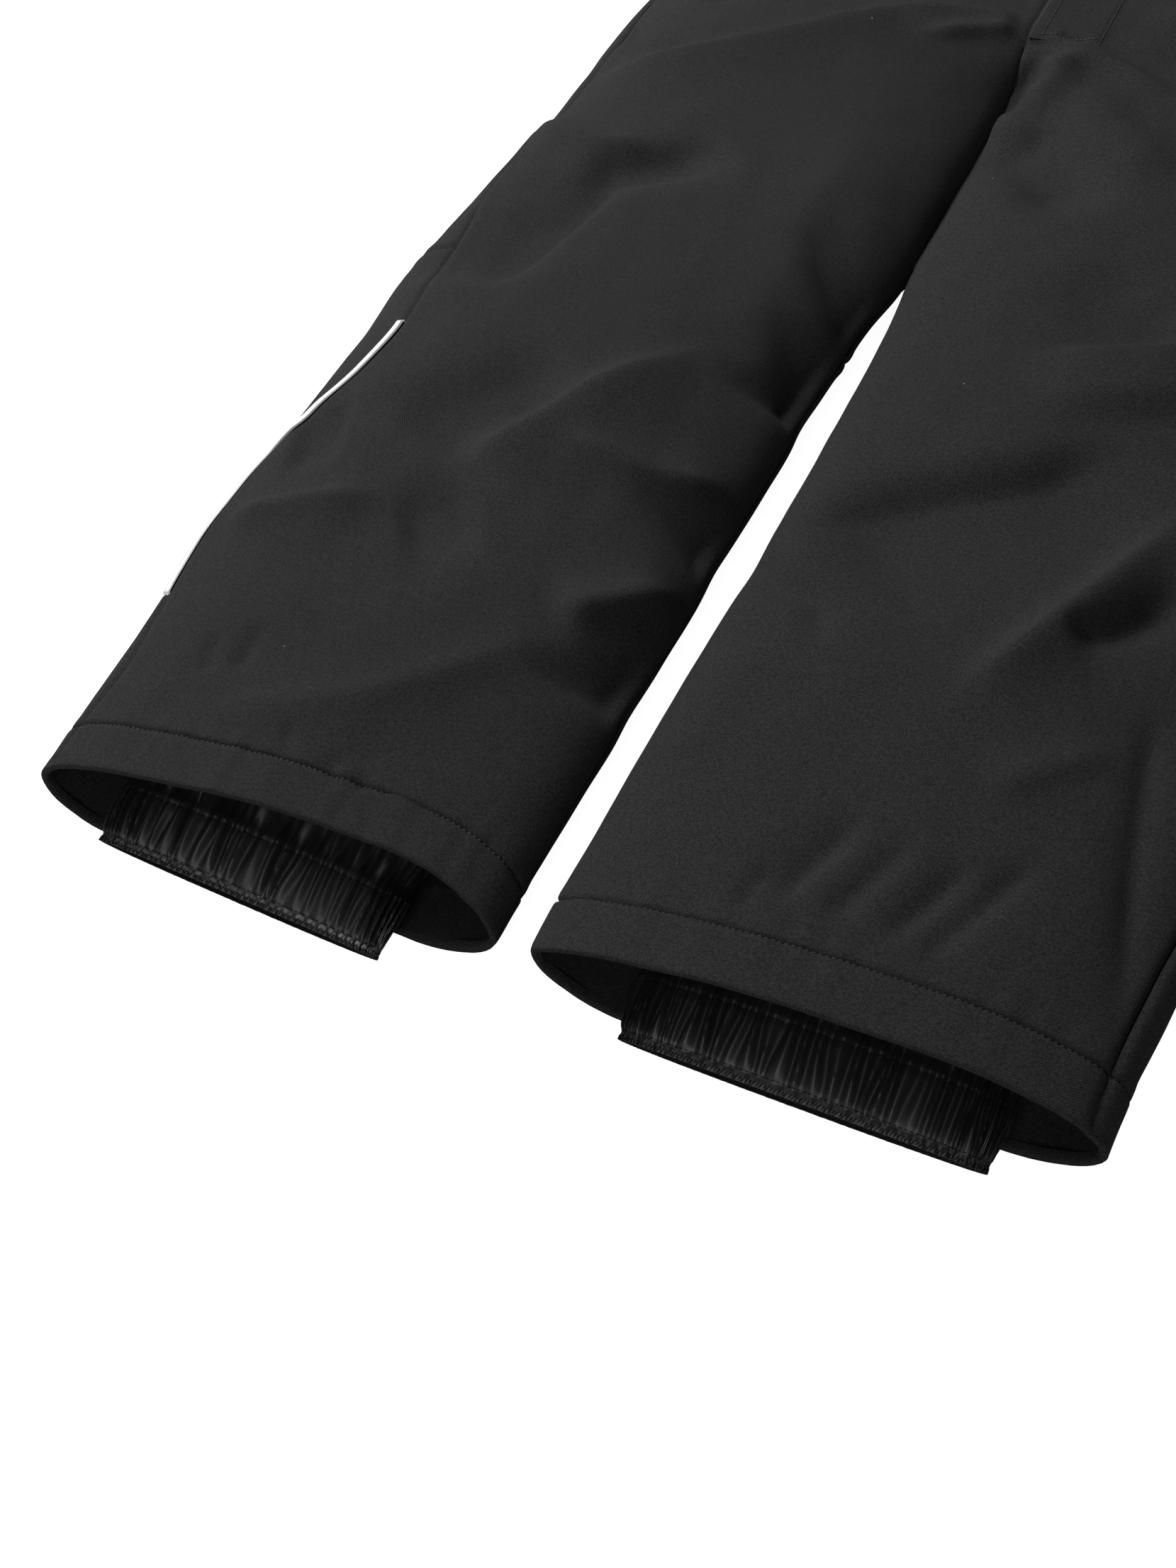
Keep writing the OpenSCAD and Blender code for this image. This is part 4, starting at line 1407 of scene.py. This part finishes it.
    def _skirt_grid(self) -> Grid:
        """The skirt that flares from the cuff up to the lining."""
        y = self.high + (self.skirt_top - self.high) * np.linspace(0, 1, 46) ** 1.5
        angle, numbers = self._columns()
        front = (angle >= 0)[None, :]
        around = np.where(angle >= 0, angle / math.pi, -angle / math.pi)[None, :]
        grid = Grid(self._section(y[:, None], around, front), self.shell.side.sign, ring=True)
        column = y[:, None]
        crest = self._gather(numbers[None, :], column)
        whole = np.floor(numbers).astype(int) % len(self.size)
        reach = (9 * self.length[whole])[None, :]
        fine = crest * np.exp(-((column - self.high) / reach) ** 1.2)
        wide = numbers / 3.1 + 0.4 * np.sin(numbers * 0.37) + 0.012 * (column - self.high)
        soft = (0.5 + 0.5 * np.sin(FULL_TURN * wide)) ** 1.4
        swell = smooth((column - self.high) / 12) * (1 - smooth((column - 80) / 48))
        depth = self.puff * 0.9 * fine + 3.6 * swell * soft
        grid.raise_by(np.where(front, depth, 0.4 * depth) - 1.2 * swell)
        grid.points[..., 2] = np.maximum(grid.points[..., 2], 3.8)
        return grid

    def build(self) -> None:
        """Makes the cuff, its elastic, the skirt and the threads."""
        side, label = self.shell.side, self.shell.side.label
        rows = np.unique(np.concatenate([np.arange(self.low, self.high + 0.1, 0.9), [self.high]]))
        cuff_grid = self._cuff_grid(rows, 0.0, 1.0)
        cuff = cloth_piece(f"{label}_cuff_cloth", cuff_grid, 0.7, self.looks.of(GAITER))
        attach(cuff, f"{label}_gaiter")
        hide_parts(f"{label}_gaiter_cuff")
        band = self._cuff_grid(np.arange(self.low + 2.5, self.high - 1.5, 1.5), 1.7, 0.3)
        elastic = cloth_piece(f"{label}_cuff_elastic", band, 0.9, self.looks.of(WEBBING))
        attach(elastic, f"{label}_gaiter")
        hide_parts(f"{label}_gaiter_elastic")
        skirt = cloth_piece(f"{label}_skirt_cloth", self._skirt_grid(), 0.35, self.looks.of(GAITER))
        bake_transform(skirt)
        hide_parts(f"{label}_gaiter_skirt")
        threads = self._threads(cuff_grid, rows)
        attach(threads, f"{label}_gaiter")
        LOG.info("%s gaiter: %d gathers on the front", label, self.gathers)

    def _threads(self, grid: Grid, rows: Array) -> bpy.types.Object:
        """Two stitch lines and the zigzag over the cuff's lower edge."""
        normals = grid.normals()
        front = slice(self.back_gathers * 5, None)
        lines = []
        for spot in (self.low_stitch, self.high_stitch):
            row = int(np.abs(rows - spot).argmin())
            lines.append((grid.points[row, front], normals[row, front]))
        name = f"{self.shell.side.label}_cuff_threads"
        straight = StitchRow(2.2, 1.7, 0.5, 0.4, sink=0.1).build(name, lines, self.looks.of(BLACK_THREAD))
        edge = [(grid.points[1], normals[1])]
        zigzag = StitchRow(1.5, 2.4, 0.4, 0.36, slant=math.radians(58), sink=0.05)
        extra = zigzag.build(name + "_edge", edge, self.looks.of(BLACK_THREAD))
        return joined(straight, extra)


def joined(*pieces: bpy.types.Object) -> bpy.types.Object:
    """Joins pieces into the first one.

    Args:
        pieces: The objects to join.

    Returns:
        The first object, which now holds all of them.
    """
    bpy.ops.object.select_all(action="DESELECT")
    for piece in pieces:
        piece.select_set(True)
    bpy.context.view_layer.objects.active = pieces[0]
    bpy.ops.object.join()
    bpy.ops.object.select_all(action="DESELECT")
    return pieces[0]


# --------------------------------------------------------------------- waist


@dataclass
class Waistband:
    """The waistband, its facing, its belt loops and its rows of stitches."""

    shells: dict
    looks: Looks
    thick: float = 2.4
    proud: float = 0.9
    step: float = 2.0
    gathers: float = 30.0
    loop_width: float = 8.0

    def _band(
        self, side: Side, low: float, high: float, count: int, depth: float, back: bool, seed: int
    ) -> Grid:
        """A strip of the waist between two angles, edges rolled over."""
        rows = np.concatenate([[0, 0.35, 1.0], np.arange(2.2, 38.5, self.step), [39.0, 39.65, 40]])
        y = FORM.band_low + rows
        angles = np.radians(np.linspace(low, high, count))[None, :] + y[:, None] * 0
        grid = Grid(FORM.point(y[:, None] + angles * 0, angles, 0.0, side), side.sign)
        roll = 0.9 * (bell(rows, 0.8) + bell(rows - 40, 0.8))[:, None]
        sewn = 0.5 * (bell(rows - 3.4, 1.2) + bell(rows - 36.4, 1.2))[:, None]
        x, at_y, _ = np.moveaxis(grid.points, 2, 0)
        relief = 0.35 * ripples(x, at_y, 24, seed)
        if back:
            phase = np.linspace(0, math.pi * self.gathers, count) + 0.5 * ripples(x, at_y, 30, seed)
            gather = np.abs(np.sin(phase))
            relief = relief + 2.0 * gather ** 0.8 * (0.35 + 0.65 * np.sin(math.pi * rows / 40))[:, None]
        grid.raise_by(self.proud - depth + relief - roll - sewn)
        grid.points[..., 2] = np.maximum(grid.points[..., 2], 1.5 if back else 0.9)
        return grid

    def build(self) -> None:
        """Makes both halves of the band and everything sewn on it."""
        fly = self.shells[Side.LEFT].fly_width
        bands = []
        for side in Side:
            label = side.label
            end = math.degrees(self._angle_at(side, fly)) if side is Side.LEFT else 179.5
            grid = self._band(side, FORM.seam_angle, end, 130, 0.0, False, 21)
            band = cloth_piece(f"{label}_front_waistband_cloth", grid, self.thick, self.looks.of(SHELL))
            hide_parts(f"{label}_front_waistband")
            rows = [4, 20]
            lines = [(grid.points[r], grid.normals()[r]) for r in rows]
            bands.append((band, SHELL))
            threads = StitchRow().build(f"{label}_front_waistband_stitches", lines, self.looks.of(THREAD))
            bands.append((threads, THREAD))
            grid = self._band(side, -179.6, FORM.seam_angle, 560, 0.6, True, 23)
            back = cloth_piece(f"{label}_back_waistband_cloth", grid, self.thick, self.looks.of(SHELL))
            if side is Side.LEFT:
                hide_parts("back_waistband", "waist_elastic")
            bands.append((back, SHELL))
            bands.extend(self._facings(side))
        bands.append((self._belt_loops(), SHELL))
        for piece, finish in bands:
            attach(piece, "hips")
        LOG.info("waistband: %d pieces", len(bands))

    def _angle_at(self, side: Side, distance: float) -> float:
        """Angle at which the front band reaches a distance from the centre."""
        dense = np.linspace(math.pi / 2, math.pi, 300)
        x = FORM.point(np.full(300, 905.0), dense, 0.0, side)[:, 0] * side.sign
        return float(np.interp(-distance, -x, dense))

    def _facings(self, side: Side) -> list:
        """The soft strips behind the band, front and back."""
        made = []
        edge = math.degrees(self._angle_at(side, 41.0)) if side is Side.LEFT else 179.4
        halves = (
            ("front", FORM.seam_angle, edge, "front_waist_facing"),
            ("back", -179.4, FORM.seam_angle, "back_waist_facing"),
        )
        for name, low, high, node in halves:
            grid = self._band(side, low, high, 110, 3.4 if name == "front" else 4.6, False, 25)
            if name == "back":
                grid.points[..., 2] = np.maximum(grid.points[..., 2], 5.6)
            piece = cloth_piece(f"{side.label}_{name}_waist_facing_cloth", grid, 0.6, self.looks.of(LINING))
            if side is Side.LEFT:
                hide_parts(node)
            made.append((piece, LINING))
        return made

    def _belt_loops(self) -> bpy.types.Object:
        """Five belt loops, sewn down at both ends."""
        low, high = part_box("belt_loops")
        made = []
        spots = [(x, top) for x in (-0.088, 0.088) for top in (True, False)] + [(0.004, False)]
        lanes = np.linspace(-0.5, 0.5, 7)
        for x, top in spots:
            length = np.linspace(0, 1, 26)
            start = FORM.band_low - 4 if top else FORM.band_low + FORM.back_rise + 0.6
            y = start + length * (46 if top else 38)
            to_end = np.minimum(length, 1 - length)
            arch = 1.5 * np.sin(math.pi * length) ** 0.5 - 0.9 * (1 - smooth(to_end / 0.05))
            level = FORM.leg_height + 1.1 + arch if top else 1.15 + 0 * arch
            rib = 0.35 * (1 - (2 * lanes) ** 2)
            points = np.stack([
                x / MM + lanes[None, :] * self.loop_width + y[:, None] * 0,
                y[:, None] + lanes * 0,
                level[:, None] + rib[None, :],
            ], -1)
            name = f"belt_loop_{len(made)}"
            made.append(cloth_piece(name, Grid(points, -1.0), 0.9, self.looks.of(SHELL)))
        loops = joined(*made)
        loops.name = "belt_loops_cloth"
        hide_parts("belt_loops")
        LOG.info("belt loops between %.3f and %.3f m", low.y, high.y)
        return loops


@dataclass
class Fly:
    """The fly: its flap, waist tab, shield and zip."""

    shell: ShellCloth
    band: Waistband
    looks: Looks
    bend_start: float = 41.5
    bend_end: float = 30.0
    tape_level: float = 48.6
    shield_level: float = 45.4
    zip_x: float = 19.0

    def _fold_open(self, piece: bpy.types.Object) -> None:
        """Bakes a piece of the flap's placement into its mesh."""
        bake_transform(piece)

    def _flat(
        self, low: tuple[float, float], high: tuple[float, float], level: float, step: float, seed: int,
        swell: float,
    ) -> Grid:
        """A nearly flat cloth between two corners."""
        wide = high[0] - low[0]
        x = np.arange(high[0], low[0] - 0.01, -wide / max(2, round(wide / step)))
        y = np.linspace(low[1], high[1], max(3, round((high[1] - low[1]) / step)))
        xx, yy = np.meshgrid(x, y)
        z = level + swell * ripples(xx, yy, 40, seed)
        return Grid(np.stack([xx, yy, z], -1), 1.0)

    def build(self) -> None:
        """Makes every piece of the fly."""
        flap = self._flap()
        tab = self._tab()
        low, high = (1.2, self.shell.fly_low + 2), (38.6, FORM.band_low - 1)
        facing_grid = self._flat(low, high, 52.6, 3, 51, 0.15)
        facing = cloth_piece("fly_facing_cloth", facing_grid, 0.6, self.looks.of(LINING))
        self._fold_open(facing)
        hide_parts("fly_facing")
        shield_grid = self._flat((-18, 693), (44, 922), self.shield_level, 4, 53, 0.25)
        shield = cloth_piece("fly_shield_cloth", shield_grid, 0.8, self.looks.of(SHELL))
        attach(shield, "hips")
        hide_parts("fly_shield")
        tapes = self._tapes()
        for node in ("snap_cap", "snap_stud", "fly_zip_teeth", "fly_bottom_stop", "fly_slider", "fly_pull"):
            dress_node(node, self.looks.of(GUNMETAL))
        LOG.info("fly: flap, tab, facing, shield, tapes and six metal parts")

    def _flap(self) -> bpy.types.Object:
        """The flap, cut from the front panel so that its folds run on."""
        shell = self.shell
        rows = np.concatenate([np.zeros(len(HEM_CURL)), shell.front_stations])
        first = int(np.argmax(rows >= shell.fly_low - 0.01))
        grid = shell.front.part(slice(first, None), slice(shell.split, None))
        flap = cloth_piece("fly_flap_cloth", grid, 0.9, self.looks.of(SHELL))
        self._fold_open(flap)
        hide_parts("fly_flap")
        threads = self._flap_threads(grid)
        self._edge_threads(first)
        return flap

    def _flap_threads(self, grid: Grid) -> list:
        """Double topstitching beside the centre seam, and the row over the lower end."""
        normals = grid.normals()
        x = grid.points[20, :, 0]
        lines = []
        for spot in (2.2, 8.2):
            column = int(np.abs(x - spot).argmin())
            lines.append((grid.points[2:, column], normals[2:, column]))
        inner = int(np.abs(x - 9.0).argmin())
        lines.append((grid.points[2, : inner + 1], normals[2, : inner + 1]))
        threads = StitchRow().build("fly_flap_stitches", lines, self.looks.of(THREAD))
        self._fold_open(threads)
        return [threads]

    def _edge_threads(self, first: int) -> None:
        """The row that holds the fly's edge to the front."""
        front = self.shell.front
        column = self.shell.split - 1
        lines = [(front.points[first:, column], front.normals()[first:, column])]
        threads = StitchRow().build("fly_edge_stitches", lines, self.looks.of(THREAD))
        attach(threads, "hips")

    def _tab(self) -> bpy.types.Object:
        """The end of the waistband over the fly, with the snap on it."""
        edge = math.degrees(self.band._angle_at(Side.LEFT, self.shell.fly_width))
        grid = self.band._band(Side.LEFT, edge, 179.4, 22, 0.0, False, 21)
        tab = cloth_piece("waist_tab_cloth", grid, 2.2, self.looks.of(SHELL))
        self._fold_open(tab)
        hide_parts("waist_tab")
        return tab

    def _tapes(self) -> bpy.types.Object:
        """The two woven tapes of the fly's zip."""
        made = []
        for low, high in ((self.zip_x - 14, self.zip_x - 2.2), (self.zip_x + 2.2, self.zip_x + 14)):
            start, end = (low, self.shell.fly_low + 12), (high, FORM.band_low - 2)
            grid = self._flat(start, end, self.tape_level, 2, 57, 0.08)
            made.append(cloth_piece(f"tape_{len(made)}", grid, 0.5, self.looks.of(WEBBING)))
        tapes = joined(*made)
        tapes.name = "fly_zip_tapes"
        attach(tapes, "hips")
        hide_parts("fly_zip_tape")
        return tapes


def dress_node(node: str, look: bpy.types.Material) -> None:
    """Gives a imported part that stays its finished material."""
    part = frame["nodes"][node]
    for slot in part.material_slots:
        slot.material = look


@dataclass
class SidePocket:
    """A slanted hand pocket: its coated zip, welts and bag."""

    side: Side
    looks: Looks
    length: float = 138.0
    width: float = 14.0

    def build(self) -> None:
        """Makes the zip strip and the bag, and dresses the slider and pull."""
        label = self.side.label
        run = next(j for j in frame["joints"] if j["name"] == f"{label}_pocket_zip_run")
        along = np.array(run["axis"], float)
        low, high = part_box(f"{label}_pocket_zip")
        centre = (np.array(low) + np.array(high)) / 2 / MM - np.array([0, HEM_LINE / MM, 0])
        cross = np.cross(np.array([0, 0, 1.0]), along)
        cross /= np.linalg.norm(cross)
        up = np.cross(along, cross)
        lanes = np.array([
            -7.4, -7, -6, -4.6, -3.2, -2.6, -2.1, -1.7, -1.2, -0.5,
            0.5, 1.2, 1.7, 2.1, 2.6, 3.2, 4.6, 6, 7, 7.4,
        ])
        gap = np.abs(lanes)
        profile = -0.9 + 0.8 * smooth((7.6 - gap) / 1.2) + 0.55 * bell(gap - 4.4, 2.2)
        profile = profile - 1.1 * bell(gap - 2.3, 0.5) + 0.4 * bell(gap, 1.4)
        spots = np.linspace(-self.length / 2, self.length / 2, 110)
        teeth = 0.16 * np.sin(FULL_TURN * spots / 1.6)[:, None] * bell(gap, 1.1)[None, :]
        end = smooth((self.length / 2 - np.abs(spots)) / 3)[:, None]
        height = (profile[None, :] + 0.9) * end - 0.9 + teeth
        points = centre + spots[:, None, None] * along + lanes[None, :, None] * cross
        points = points + height[..., None] * up
        grid = Grid(points, 1.0)
        flip = np.sign(grid.normals()[50, 10, 2])
        grid.sign = float(flip)
        strip = cloth_piece(f"{label}_pocket_zip_strip", grid, 0.6, self.looks.of(COATED))
        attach(strip, "hips")
        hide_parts(f"{label}_pocket_zip")
        self._bag()
        for node in (f"{label}_pocket_slider", f"{label}_pocket_pull"):
            dress_node(node, self.looks.of(GUNMETAL))
        LOG.info("%s pocket: zip, bag, slider and pull", label)

    def _bag(self) -> None:
        """The pocket bag inside, a flat double layer with a rounded outline."""
        label = self.side.label
        low, high = (np.array(v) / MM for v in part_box(f"{label}_pocket_bag"))
        low[1] -= HEM_LINE / MM
        high[1] -= HEM_LINE / MM
        u, v = np.meshgrid(np.linspace(0, 1, 34), np.linspace(0, 1, 60))
        inset = 14 * (1 - np.sqrt(1 - (1 - np.minimum(1, np.minimum(v, 1 - v) * 12)) ** 2))
        slope = 30 * v
        if self.side is Side.LEFT:
            left, right = low[0] + inset, high[0] - inset - slope
        else:
            left, right = low[0] + inset + slope, high[0] - inset
        x = mix(left, right, u)
        y = mix(low[1], high[1], v)
        middle = (low[2] + high[2]) / 2
        pillow = 1.1 * (np.sin(math.pi * u) * np.sin(math.pi * v)) ** 0.4
        z = middle + pillow + 0.2 * ripples(x, y, 45, 61)
        grid = Grid(np.stack([x, y, z], -1), -1.0)
        bag = cloth_piece(f"{label}_pocket_bag_cloth", grid, 1.6, self.looks.of(LINING))
        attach(bag, "hips")
        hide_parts(f"{label}_pocket_bag")


@dataclass
class WaistAdjuster:
    """A touch-tape tab that takes in the waist, and the patch under it."""

    side: Side
    looks: Looks
    edge: float = 1.5

    def build(self) -> None:
        """Makes the tab with its rounded end, its stitches and the patch."""
        label = self.side.label
        low, high = (np.array(v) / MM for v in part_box(f"{label}_waist_adjuster"))
        shift = HEM_LINE / MM
        radius = (high[1] - low[1]) / 2
        u, v = np.meshgrid(np.linspace(0, 1, 40), np.linspace(-1, 1, 21))
        tip = radius * (1 - np.sqrt(1 - np.minimum(np.abs(v), 0.999) ** 2))
        inner, outer = low[0], high[0]
        if self.side is Side.RIGHT:
            inner, outer = high[0], low[0]
        way = np.sign(outer - inner)
        x = mix(inner + way * tip, outer + v * 0, u)
        y = (low[1] + high[1]) / 2 - shift + v * radius
        rim = smooth((1 - np.abs(v)) * radius / 1.6) * smooth(np.abs(x - inner - way * tip) / 1.6)
        sewn = -0.25 * bell((1 - np.abs(v)) * radius - 2.6, 0.7)
        z = low[2] + 1.0 + 0.7 * rim + sewn + 0.12 * ripples(x, y, 20, 71)
        grid = Grid(np.stack([x, y, z], -1), -float(way))
        tab = cloth_piece(f"{label}_adjuster_tab", grid, 1.5, self.looks.of(SHELL))
        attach(tab, f"{label}_adjuster")
        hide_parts(f"{label}_waist_adjuster")
        lines = [(grid.points[r, 4:-2], grid.normals()[r, 4:-2]) for r in (3, 17)]
        threads = StitchRow().build(f"{label}_adjuster_stitches", lines, self.looks.of(THREAD))
        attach(threads, f"{label}_adjuster")
        low, high = (np.array(v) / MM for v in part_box(f"{label}_adjuster_patch"))
        x, y = np.meshgrid(np.linspace(low[0], high[0], 60), np.linspace(low[1], high[1], 36) - shift)
        loops = 0.25 * np.abs(np.sin(x * 2.1)) * np.abs(np.sin(y * 2.3))
        patch_grid = Grid(np.stack([x, y, low[2] + 0.55 + loops], -1), -1.0)
        patch = cloth_piece(f"{label}_adjuster_loop_patch", patch_grid, 0.5, self.looks.of(WEBBING))
        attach(patch, "hips")
        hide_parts(f"{label}_adjuster_patch")
        LOG.info("%s waist adjuster", label)


# -------------------------------------------------------------------- studio


@dataclass
class Studio:
    """A plain pale floor, soft lights and the camera."""

    lens: float = 39.68
    azimuth: float = 31.658
    elevation: float = 49.887
    roll: float = -7.821
    distance: float = 0.75207
    target: tuple[float, float, float] = (-17.202, 99.497, 0.0)
    floor_glow: float = 0.05
    floor_seen: float = 0.95
    world_glow: float = 0.09
    key_power: float = 96.0
    front_power: float = 11.0

    def build(self) -> None:
        """Sets the floor, the surroundings, the lights and the camera."""
        scene = bpy.context.scene
        scene.view_settings.view_transform = "Standard"
        self._floor()
        world = bpy.data.worlds.new("pale_surroundings")
        world.use_nodes = True
        n = Nodes(world.node_tree)
        seen = n.add("ShaderNodeLightPath").outputs["Is Camera Ray"]
        glow = n.spread(seen, 0.0, 1.0, self.world_glow, 1.0)
        background = world.node_tree.nodes["Background"]
        background.inputs[0].default_value = (1, 1, 1, 1)
        n.feed(background.inputs[1], glow)
        scene.world = world
        self._lamp("key_light", (-1.75, 0.65, 1.7), 1.2, self.key_power)
        self._lamp("front_light", (0.2, -2.0, 1.1), 1.0, self.front_power)
        self._camera()

    def _floor(self) -> None:
        """A wide pale floor just under the cloth."""
        bpy.ops.object.select_all(action="DESELECT")
        bpy.ops.mesh.primitive_plane_add(size=14, location=(0, 0, -0.0004))
        floor = bpy.context.object
        floor.name = "stage_floor"
        bpy.ops.object.transform_apply(location=True, rotation=True, scale=True)
        look = bpy.data.materials.new("pale_floor")
        look.use_nodes = True
        shader = look.node_tree.nodes["Principled BSDF"]
        shader.inputs["Base Color"].default_value = (0.45, 0.45, 0.45, 1)
        shader.inputs["Roughness"].default_value = 1.0
        shader.inputs["Specular IOR Level"].default_value = 0.0
        shader.inputs["Emission Color"].default_value = (1, 1, 1, 1)
        n = Nodes(look.node_tree)
        seen = n.add("ShaderNodeLightPath").outputs["Is Camera Ray"]
        n.feed(shader.inputs["Emission Strength"], n.spread(seen, 0.0, 1.0, self.floor_glow, self.floor_seen))
        floor.data.materials.append(look)

    def _lamp(self, name: str, place: tuple[float, float, float], size: float, power: float) -> None:
        """A square soft light that faces the trousers."""
        light = bpy.data.lights.new(name, "AREA")
        light.shape = "SQUARE"
        light.size = size
        light.energy = power
        lamp = bpy.data.objects.new(name, light)
        lamp.location = place
        lamp.rotation_euler = (-Vector(place)).to_track_quat("-Z", "Y").to_euler()
        bpy.context.scene.collection.objects.link(lamp)

    def _camera(self) -> None:
        """The camera at its place, rolled a little."""
        az, el = math.radians(self.azimuth), math.radians(self.elevation)
        back = Vector((math.sin(az) * math.cos(el), -math.cos(az) * math.cos(el), math.sin(el)))
        forward = -back
        right = forward.cross(Vector((0, 0, 1))).normalized()
        up = right.cross(forward)
        turn = Matrix.Rotation(math.radians(self.roll), 3, back)
        right, up = turn @ right, turn @ up
        data = bpy.data.cameras.new("studio_camera")
        data.lens, data.sensor_width = self.lens, 36.0
        camera = bpy.data.objects.new("studio_camera", data)
        place = Matrix.Translation(Vector(row_point(*self.target)) + back * self.distance)
        camera.matrix_world = place @ Matrix((right, up, back)).transposed().to_4x4()
        bpy.context.scene.collection.objects.link(camera)
        bpy.context.scene.camera = camera


def main() -> None:
    """Builds the trousers sub-assembly by sub-assembly."""
    logging.basicConfig(level=logging.INFO, format="%(name)s: %(message)s")
    bpy.ops.object.select_all(action="DESELECT")
    Studio().build()
    looks = Looks()
    shells = {side: ShellCloth(side, looks) for side in Side}
    for side, shell in shells.items():
        shell.build()
        LegInside(shell, looks).build()
        ReflectivePiping(shell, looks).build()
        lean, shift = GAITER_LIE[side]
        SnowGaiter(shell, looks, tilt=lean, shift=shift).build()
        SidePocket(side, looks).build()
        WaistAdjuster(side, looks).build()
    band = Waistband(shells, looks)
    band.build()
    Fly(shells[Side.LEFT], band, looks).build()


if __name__ == "__main__":
    main()
